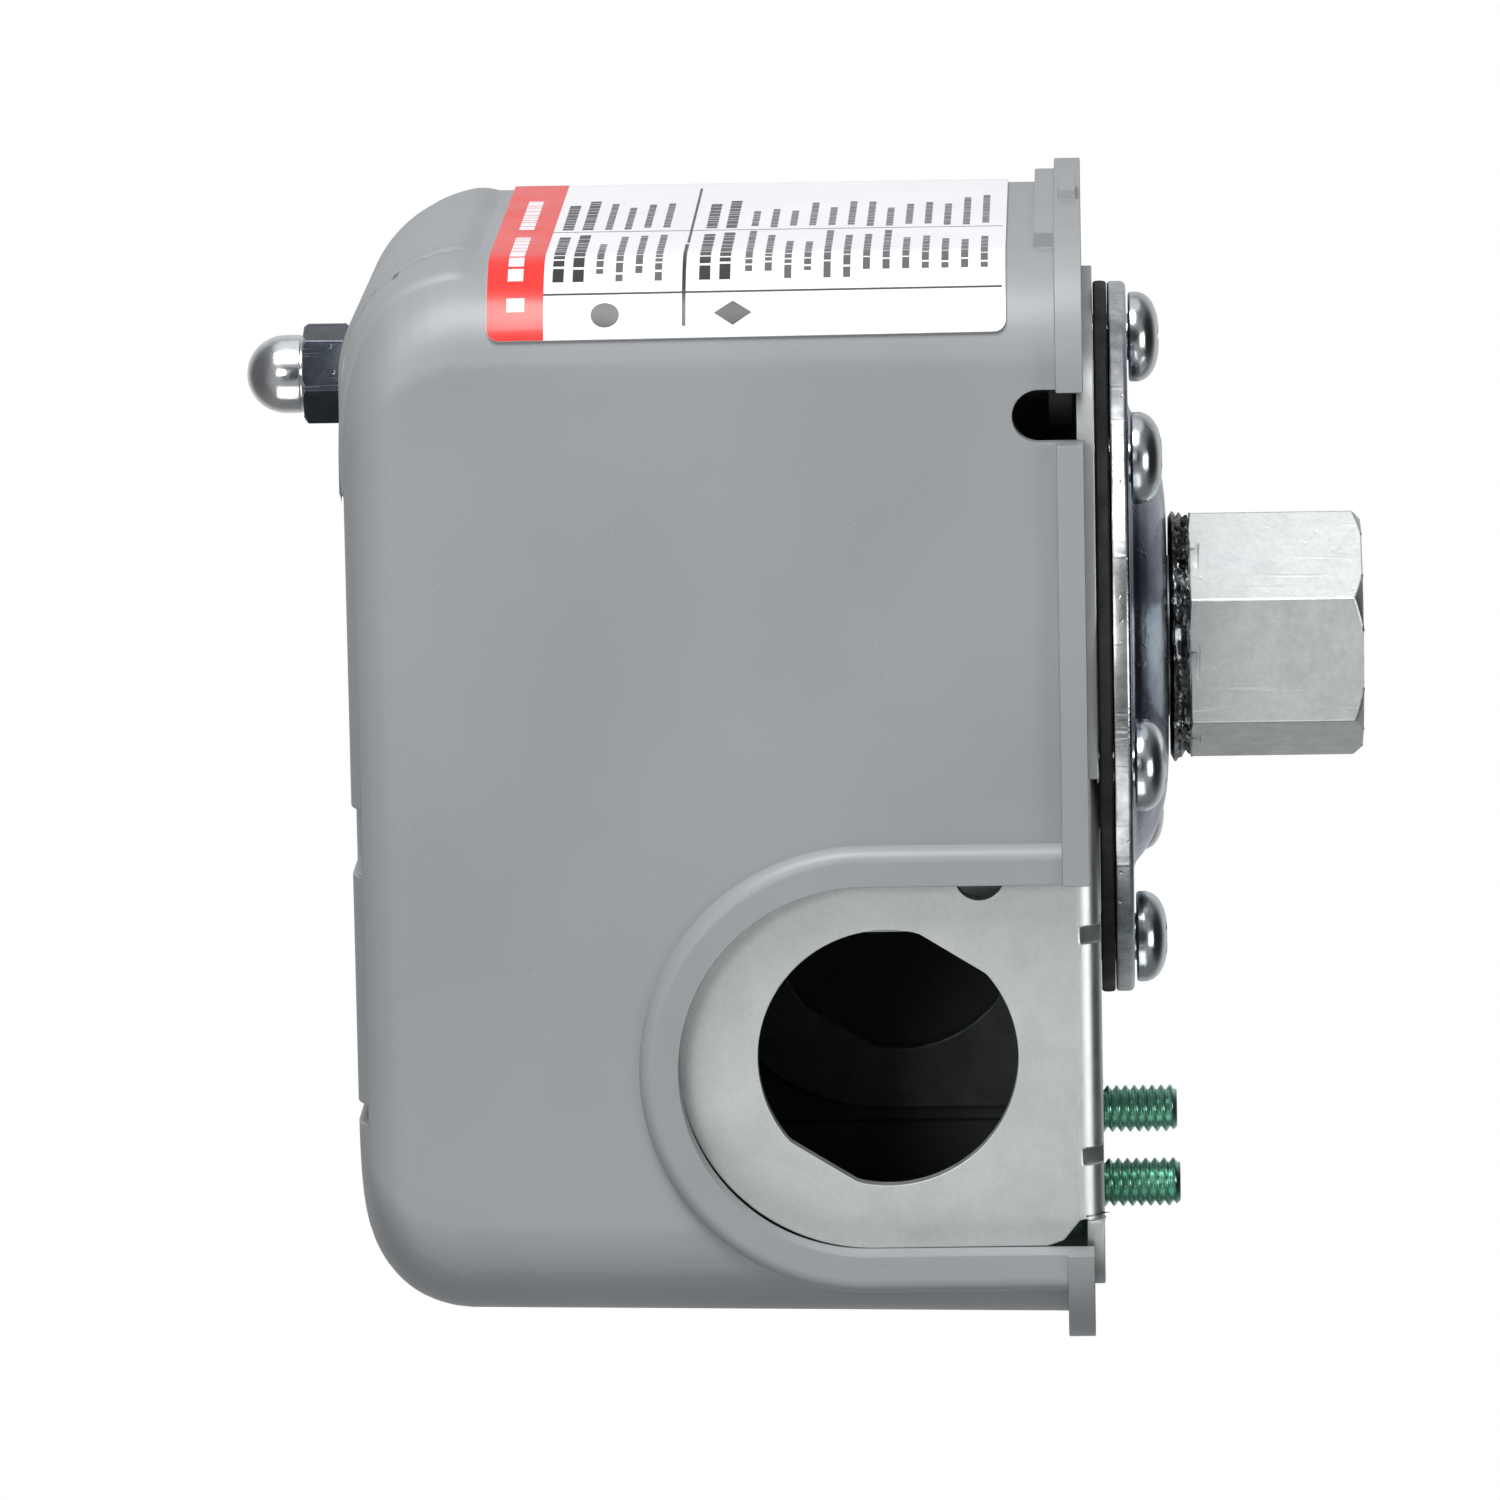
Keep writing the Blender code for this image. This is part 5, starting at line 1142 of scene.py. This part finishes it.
def build_block():
    bm = bmesh.new()
    add_box(bm, (BLK_X0, -BLK_Y, BLK_Z0), (BLK_X1, BLK_Y, BLK_Z1))
    ob = from_bm("contact_block", bm, BLACK)
    bev = ob.modifiers.new("edges", 'BEVEL')
    bev.width = 0.8 * MM
    bev.segments = 4
    bev.limit_method = 'ANGLE'
    for k, (y, x1) in enumerate(((-24.3, -2.2), (-13.0, -13.0), (0.0, -2.2), (13.0, -13.0), (24.3, -2.2))):
        join(ob, box("barrier_%d" % k, (BLK_X0 + 0.2, y - 0.65, BLK_Z1 - 1), (x1, y + 0.65, BLK_Z1 + 6.4), cutter=True))
    for tag, y in (("front", -24.9), ("back", 23.2)):
        join(ob, extruded("cheek_" + tag, [(BLK_X1 - 2, 56.5), (4.0, 56.5), (7.4, 57.4), (9.5, 59.0), (10.5, 62.0), (9.5, 65.0), (7.8, 66.4),
                                           (5.5, 67.0), (BLK_X1 - 2, 68.5)], y, y + 1.7, cutter=True))
    bm = bmesh.new()
    for y in TERMINAL_Y:
        add_cyl(bm, 2.0, (-18.0, y), BLK_Z1 - 7.0, BLK_Z1 + 8, seg=14)
    for x in (-18.5, -7.5):
        add_cyl(bm, 1.9, (x, 0), BLK_Z0 - 4, BLK_Z1 + 2, seg=14)
    cut(ob, from_bm("block_holes", bm, cutter=True))
    for k, x in enumerate((-18.5, -7.5)):
        cut(ob, cyl("block_counterbore_%d" % k, 3.5, (x, 0), BLK_Z1 - 0.5, BLK_Z1 + 12, cutter=True, seg=16))
    cut(ob, cyl("cheek_holes", ROCK_R + GAP, (ROCK_X, ROCK_Z), -28, 28, cutter=True, axis='Y', seg=16))
    cut(ob, box("block_core", (BLK_X0 + 3.0, -22.0, BLK_Z0 - 2), (BLK_X1 - 3.0, -3.6, BLK_Z1 - 8.5), cutter=True),
        box("block_core_b", (BLK_X0 + 3.0, 3.6, BLK_Z0 - 2), (BLK_X1 - 3.0, 22.0, BLK_Z1 - 8.5), cutter=True))
    bevel(ob, 0.15, 2, 50)
    return ob


def build_terminal_strip(name, y):
    """Brass terminal strip with its fixed contact button."""
    ob = box(name, (-23.0, y - 3.8, BLK_Z1 + GAP), (-4.0, y + 3.8, BLK_Z1 + GAP + 1.2), BRASS)
    join(ob, cyl(name + "_button", 2.3, (-8.8, y), BLK_Z1 + 1.0, BLK_Z1 + GAP + 2.1, cutter=True, seg=16))
    cut(ob, cyl(name + "_hole", 2.1, (-18.0, y), BLK_Z1 - 2, BLK_Z1 + 4, cutter=True, seg=16))
    bevel(ob, 0.14, 2, 40)
    return ob


def build_terminal_screw(name, y, spin):
    z = BLK_Z1 + GAP + 1.2 + GAP
    ob = ring_stack(name, (-18.0, y), [(1.7, BLK_Z1 - 6.0), (1.7, z), (3.5, z), (3.7, z + 0.15), (3.7, z + 1.1), (3.55, z + 1.5), (3.2, z + 1.85),
                                       (2.6, z + 2.1)], ZINC_NUT)
    slot = box(name + "_slot", (-4.5, -0.42, z + 1.0), (4.5, 0.42, z + 4), cutter=True)
    slot.rotation_euler = (0, 0, spin)
    slot.location = Vector((-18.0, y, 0)) * MM
    cut(ob, slot)
    bevel(ob, 0.08, 2, 50)
    return ob


def build_block_screw(name, x):
    """Screw that holds the contact block down on its bracket."""
    ob = ring_stack(name, (x, 0.0), [(1.6, BLK_Z0 - 5.2), (1.6, BLK_Z1 - 0.2), (2.9, BLK_Z1 - 0.2), (3.0, BLK_Z1 - 0.1), (3.0, BLK_Z1 + 1.1),
                                     (2.85, BLK_Z1 + 1.5), (2.3, BLK_Z1 + 1.8)], ZINC_NUT)
    cut(ob, box(name + "_slot", (x - 5, -0.35, BLK_Z1 + 1.0), (x + 5, 0.35, BLK_Z1 + 4), cutter=True))
    bevel(ob, 0.07, 2, 50)
    return ob


def build_carrier():
    """Moulded rocker that carries the moving contact bars."""
    ob = box("contact_carrier", (4.2, -22.8, 59.6), (9.8, 22.8, 70.0), BLACK)
    for tag, y in (("front", -13.0), ("back", 13.0)):
        join(ob, extruded("finger_" + tag, [(5.0, 68.0), (9.0, 68.0), (9.0, 75.0), (8.3, 76.6), (6.0, 78.2), (-11.0, 78.2), (-11.6, 77.6), (-11.6, 75.4),
                                            (2.5, 75.4), (4.1, 74.6), (5.0, 72.8)],
                          y - 2.6, y + 2.6, cutter=True))
    join(ob, box("carrier_nose", (-0.7, -3.6, 60.0), (5.0, 3.6, 63.4), cutter=True),
         box("carrier_tail", (9.0, -3.6, 60.4), (14.2, 3.6, 63.0), cutter=True))
    cut(ob, cyl("carrier_bore", ROCK_R + GAP, (ROCK_X, ROCK_Z), -28, 28, cutter=True, axis='Y', seg=16))
    bevel(ob, 0.3, 3, 40)
    return ob


def build_bridge(name, y):
    """Contact bar that closes one pole across two fixed buttons."""
    ob = box(name, (-11.2, y - 8.0, 73.3), (-6.4, y + 8.0, 74.3), COPPER)
    for k, yy in enumerate((y - 5.4, y + 5.4)):
        join(ob, cyl("%s_button_%d" % (name, k), 2.2, (-8.8, yy), BLK_Z1 + GAP + 2.1 + GAP, 73.5, cutter=True, seg=16))
    join(ob, cyl(name + "_rivet", 1.3, (-8.8, y), 74.0, 75.1, cutter=True, seg=12))
    bevel(ob, 0.12, 2, 40)
    return ob


# ---- build ------------------------------------------------------------------------------
build_fitting()
build_plate()
build_diaphragm()
for k, az in enumerate(screw_azimuths()):
    build_flange_screw("flange_screw_%d" % (k + 1), az, (0.35, 1.1, 0.2, 0.8, 0.55, 1.3)[k])
build_base()
build_ground_screw("ground_screw_1", -15.6)
build_ground_screw("ground_screw_2", 15.6)
build_cover()
build_acorn()
build_range_stud()
build_diff_stud()

stud_at, diff_at = (STUD_X, 0.0), (DIFF_X, DIFF_Y)
build_seat("range_spring_seat", stud_at, 9.3, RANGE_R - RANGE_WIRE - GAP, STUD_R_LOW + GAP, SEAT_Z, 2.2)
build_hex_nut("range_nut", stud_at, 12.7, SEAT_Z + 2.2 + GAP, 4.6, STUD_R_LOW + GAP, 12.0)
coil("range_spring", RANGE_R, RANGE_WIRE, LEV_Z1 + 1.6, SEAT_Z - GAP, 6.5, stud_at, SPRING, 36)
build_seat("differential_spring_seat", diff_at, 5.3, DIFF_R - DIFF_WIRE - GAP, 2.25, DIFF_SEAT_Z, 1.2)
build_hex_nut("differential_nut", diff_at, 8.7, DIFF_SEAT_Z + 2.2 + GAP, 3.4, 1.95 + GAP, 25.0)
coil("differential_spring", DIFF_R, DIFF_WIRE, LEV_Z1 + 1.6, DIFF_SEAT_Z - GAP, 6.5, diff_at, SPRING, 30)

build_plunger()
build_lever()
bevel(cyl("lever_pivot_pin", PIVOT_R, (PIVOT_X, PIVOT_Z), -14.2, 14.2, ZINC_B, axis='Y', seg=16), 0.25, 2)
bevel(cyl("push_rod", 1.5, (1.6, 0.0), LEV_Z1 + GAP, 59.6, BRASS, seg=16), 0.25, 2)
coil("toggle_spring", 2.6, 0.4, LEV_Z1 + GAP, 58.4, 8.0, (11.4, 0.0), SPRING, 28)

build_bracket()
build_block()
for k, y in enumerate(TERMINAL_Y):
    build_terminal_strip("terminal_strip_%d" % (k + 1), y)
    build_terminal_screw("terminal_screw_%d" % (k + 1), y, (0.3, 1.2, 2.4, 0.9)[k])
build_block_screw("block_screw_1", -18.5)
build_block_screw("block_screw_2", -7.5)
build_carrier()
build_bridge("contact_bridge_1", -13.0)
build_bridge("contact_bridge_2", 13.0)
bevel(cyl("rocker_pin", ROCK_R, (ROCK_X, ROCK_Z), -25.6, 25.6, ZINC_B, axis='Y', seg=16), 0.2, 2)
LABEL_PARTS = build_label()
STAKE_RING = build_stake()

# ---- finished meshes ----------------------------------------------------------------------
SHARP = {"cover": 30, "ground_screw_1": 50, "ground_screw_2": 50, "range_stud": 45, "differential_stud": 45,
         "fitting_stake_ring": 70, "flange_plate": 34, "diaphragm": 34}


def bake_all():
    """Turns every built object into a plain mesh with its modifiers applied and clean shading."""
    bpy.context.view_layer.update()
    dg = bpy.context.evaluated_depsgraph_get()
    raw = {}
    for ob in list(PARTS.objects):
        me = bpy.data.meshes.new_from_object(ob.evaluated_get(dg), preserve_all_data_layers=False, depsgraph=dg)
        me.transform(ob.matrix_world)
        mats = [m for m in (ob.data.materials[:] if ob.data.materials else []) if m]
        raw[ob.name.split(".")[0]] = (me, mats)
    for col in (PARTS, CUTS):
        for ob in list(col.objects):
            bpy.data.objects.remove(ob, do_unlink=True)
    bpy.data.collections.remove(CUTS)
    done = {}
    for name, (me, mats) in raw.items():
        bm = bmesh.new()
        bm.from_mesh(me)
        bmesh.ops.remove_doubles(bm, verts=bm.verts, dist=0.0000012)
        bmesh.ops.dissolve_degenerate(bm, edges=bm.edges, dist=0.0000008)
        bm.to_mesh(me)
        bm.free()
        me.materials.clear()
        for m in mats[:1]:
            me.materials.append(m)
        me.polygons.foreach_set("material_index", [0] * len(me.polygons))
        me.polygons.foreach_set("use_smooth", [True] * len(me.polygons))
        me.set_sharp_from_angle(angle=math.radians(SHARP.get(name, 35)))
        ob = bpy.data.objects.new("part_" + name, me)
        PARTS.objects.link(ob)
        wn = ob.modifiers.new("weighted", 'WEIGHTED_NORMAL')
        wn.keep_sharp = True
        wn.weight = 60
        done[name] = ob
    bpy.context.view_layer.update()
    dg = bpy.context.evaluated_depsgraph_get()
    for name, ob in done.items():
        me = bpy.data.meshes.new_from_object(ob.evaluated_get(dg), preserve_all_data_layers=True, depsgraph=dg)
        ob.modifiers.clear()
        ob.data = me
    return done


pieces = bake_all()

# the plate's sheared outer edge is rougher than its faces
plate = pieces["flange_plate"].data
plate.materials.append(ZINC_EDGE)
for p in plate.polygons:
    if Vector((p.center.x, p.center.y)).length > (FLANGE_R - 0.2) * MM and abs(p.normal.z) < 0.5:
        p.material_index = 1

# the nut's flanks get a dark colour beside its polished dome: a painted dark reflection
nut = pieces["acorn_nut"].data
nut.materials.append(ACORN_FLANK_PAINTED_DARK)
for p in nut.polygons:
    if p.center.z < (NUT_Z0 + NUT_HEX_H - 0.2) * MM and abs(p.normal.z) < 0.35:
        p.material_index = 1

# inner faces painted darker as shade: a darker, duller copy of the moulding inside the cover, a darker copy of the
# sheet inside the two upright flanges
shell = pieces["cover"].data
shell.materials.append(PLASTIC_IN_SHADE)
for p in shell.polygons:
    c, n = p.center / MM, p.normal
    inside = COV_X0 + 1.2 < c.x < COV_X1 - 1.2 and abs(c.y) < COV_Y - 1.2 and c.z < COV_Z1 - 1.2
    if inside and c.z > LIP_Z1 + 0.3 and (n.x * (c.x + 9.0) < -0.01 or n.y * c.y < -0.01 or n.z < -0.5):
        p.material_index = 1
sheet = pieces["base_frame"].data
sheet.materials.append(ZINC_IN_SHADE)
for p in sheet.polygons:
    c, n = p.center / MM, p.normal
    if c.z > BASE_Z1 + 1.0 and abs(c.y) > BASE_Y - FLG_T - 0.1 and n.y * c.y < -0.5:
        p.material_index = 1
# outer bend faces get the lighter zinc: painted highlight, with lower roughness
sheet.materials.append(ZINC_BEND_HIGHLIGHT)
for p in sheet.polygons:
    c, n = p.center / MM, p.normal
    if BASE_Z0 + 0.02 < c.z < BASE_Z0 + BEND_R and abs(c.y) > BASE_Y - BEND_R and n.z < -0.03 and n.y * c.y > 0.5 and FLG_X0 + 1.0 < c.x < FLG_X1 + 7.4:
        p.material_index = 2

# ---- ride on the frame --------------------------------------------------------------------
BODIES = frame["record"]["behaviour"]["bodies"]
BODY_OF = {n: b for b, ns in BODIES.items() for n in ns}
SLOT_OF = {s["node"]: s["material_slot"] for s in frame["record"]["subparts"]}
EXTRA_BODY = {"fitting_stake_ring": "root"}
EXTRA_SLOT = {"fitting_stake_ring": "fitting_steel"}
for name, ob in pieces.items():
    node = name if name in BODY_OF else None
    if name.startswith("label_"):
        body, slot = BODY_OF["cover_label"], SLOT_OF["cover_label"]
    elif node is None:
        body, slot = EXTRA_BODY[name], EXTRA_SLOT[name]
    else:
        body, slot = BODY_OF[node], SLOT_OF[node]
    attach(ob, body)
    if node is not None:
        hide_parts(node)

# each spring gets a mesh of its own; the joint, travel and top listed with it are not used
for name, joint, travel, top in (("range_spring", "range_seat_slide", 6.0, SEAT_Z - GAP),
                                 ("differential_spring", "differential_seat_slide", 5.0, DIFF_SEAT_Z - GAP)):
    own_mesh(pieces[name])

# ---- floor, light and camera --------------------------------------------------------------
scene = bpy.context.scene
scene.view_settings.view_transform = 'Standard'
scene.view_settings.look = 'None'
scene.view_settings.exposure = 0.0
scene.view_settings.gamma = 1.0

bm = bmesh.new()
bmesh.ops.create_circle(bm, cap_ends=True, segments=128, radius=0.42)
me = bpy.data.meshes.new("floor")
bm.to_mesh(me)
bm.free()
floor = bpy.data.objects.new("floor", me)
floor.location = (0.0, 0.0, -0.032)
scene.collection.objects.link(floor)
fm = Nodes("pale_floor", (0.82, 0.82, 0.82), 0.75)
fm.colour(fm.mix(fm.noise(9, 3, 0.5), (0.80, 0.80, 0.80), (0.84, 0.84, 0.84)))
clear = fm.nt.nodes.new("ShaderNodeBsdfTransparent")
geo = fm.nt.nodes.new("ShaderNodeNewGeometry")
both = fm.nt.nodes.new("ShaderNodeMixShader")
fm.link(geo.outputs["Backfacing"], both.inputs[0])
fm.link(fm.bsdf.outputs[0], both.inputs[1])
fm.link(clear.outputs[0], both.inputs[2])
fm.link(both.outputs[0], fm.nt.nodes["Material Output"].inputs["Surface"])
me.materials.append(fm.mat)
floor.visible_glossy = False
floor.visible_diffuse = False

# surroundings: white to the camera; a soft studio with a dark side to everything else
world = bpy.data.worlds.new("studio")
scene.world = world
world.use_nodes = True
wt = world.node_tree
wt.nodes.clear()
out = wt.nodes.new("ShaderNodeOutputWorld")
seen = wt.nodes.new("ShaderNodeBackground")
seen.inputs["Color"].default_value = (1, 1, 1, 1)
seen.inputs["Strength"].default_value = 1.0
room = wt.nodes.new("ShaderNodeBackground")
room.inputs["Strength"].default_value = 1.0
path = wt.nodes.new("ShaderNodeLightPath")
pick = wt.nodes.new("ShaderNodeMixShader")
wt.links.new(path.outputs["Is Camera Ray"], pick.inputs[0])
wt.links.new(room.outputs[0], pick.inputs[1])
wt.links.new(seen.outputs[0], pick.inputs[2])
wt.links.new(pick.outputs[0], out.inputs["Surface"])
coord = wt.nodes.new("ShaderNodeTexCoord").outputs["Generated"]


def toward(direction, lo, hi, a, b):
    """Grey level that runs from a to b as the view direction turns towards a direction."""
    dot = wt.nodes.new("ShaderNodeVectorMath")
    dot.operation = 'DOT_PRODUCT'
    wt.links.new(coord, dot.inputs[0])
    dot.inputs[1].default_value = Vector(direction).normalized()
    ramp = wt.nodes.new("ShaderNodeMapRange")
    ramp.interpolation_type = 'SMOOTHSTEP'
    ramp.inputs["From Min"].default_value = lo
    ramp.inputs["From Max"].default_value = hi
    ramp.inputs["To Min"].default_value = a
    ramp.inputs["To Max"].default_value = b
    wt.links.new(dot.outputs["Value"], ramp.inputs["Value"])
    return ramp.outputs["Result"]


def combine(op, a, b):
    m = wt.nodes.new("ShaderNodeMath")
    m.operation = op
    for k, v in enumerate((a, b)):
        if isinstance(v, (int, float)):
            m.inputs[k].default_value = v
        else:
            wt.links.new(v, m.inputs[k])
    return m.outputs[0]


PSI, EPS, ROLL = math.radians(9.96), math.radians(-1.714), math.radians(0.8)
back = Vector((math.sin(PSI) * math.cos(EPS), -math.cos(PSI) * math.cos(EPS), math.sin(EPS)))
level = toward((1, 0.15, 0), 0.84, 0.97, 0.20, 0.80)              # bright panel overhead
level = combine('ADD', level, toward((0, 1, 0), 0.35, 0.9, 0.0, 0.45))   # white backdrop
level = combine('ADD', level, toward((0, -1, 0), 0.3, 0.75, 0.0, 0.15))  # pale room behind the camera
level = combine('MULTIPLY', level, toward((0, 0, -1), 0.60, 0.95, 1.0, 0.12))   # dark side
level = combine('MULTIPLY', level, toward((0, 0, 1), 0.45, 0.95, 1.0, 0.60))   # shaded end
level = combine('MULTIPLY', level, toward(back, 0.90, 0.985, 1.0, 0.14))  # dark round the camera
wt.links.new(level, room.inputs["Strength"])
room.inputs["Color"].default_value = (0.97, 0.985, 1.0, 1)


def area(name, direction, distance, size, power, colour=(1, 1, 1)):
    data = bpy.data.lights.new(name, 'AREA')
    data.shape = 'RECTANGLE'
    data.size, data.size_y = size
    data.energy = power
    data.color = colour
    ob = bpy.data.objects.new(name, data)
    d = Vector(direction).normalized()
    ob.location = Vector((-0.01, 0, 0.05)) + d * distance
    ob.rotation_euler = (-d).to_track_quat('-Z', 'Y').to_euler()
    ob.visible_camera = False
    scene.collection.objects.link(ob)
    return ob


area("key_softbox", (0.86, -0.48, 0.17), 1.0, (0.55, 0.6), 10.4)
area("kicker", (0.24, -0.91, 0.27), 1.0, (0.24, 0.24), 1.7)
area("fill_right", (0.0, -0.7, -0.75), 1.0, (0.5, 0.5), 2.8)
area("low_fill", (-0.8, -0.7, 0.1), 1.0, (0.7, 0.7), 2.2)

cam_data = bpy.data.cameras.new("camera")
cam_data.sensor_width = 36.0
cam_data.lens = 36.0 * 993.5 / (1500 * 0.0876)
cam = bpy.data.objects.new("camera", cam_data)
scene.collection.objects.link(cam)
right_up = Vector((math.cos(PSI), math.sin(PSI), 0.0))
left0 = back.cross(right_up)
img_left = left0 * math.cos(ROLL) + right_up * math.sin(ROLL)
img_up = -left0 * math.sin(ROLL) + right_up * math.cos(ROLL)
target = Vector((-9.653, 0.0, 53.587)) * MM
m = Matrix.Identity(4)
for i in range(3):
    m[i][0] = -img_left[i]
    m[i][1] = img_up[i]
    m[i][2] = back[i]
    m[i][3] = target[i] + back[i] * 0.9935
cam.matrix_world = m
cam_data.clip_start, cam_data.clip_end = 0.01, 20.0
scene.camera = cam
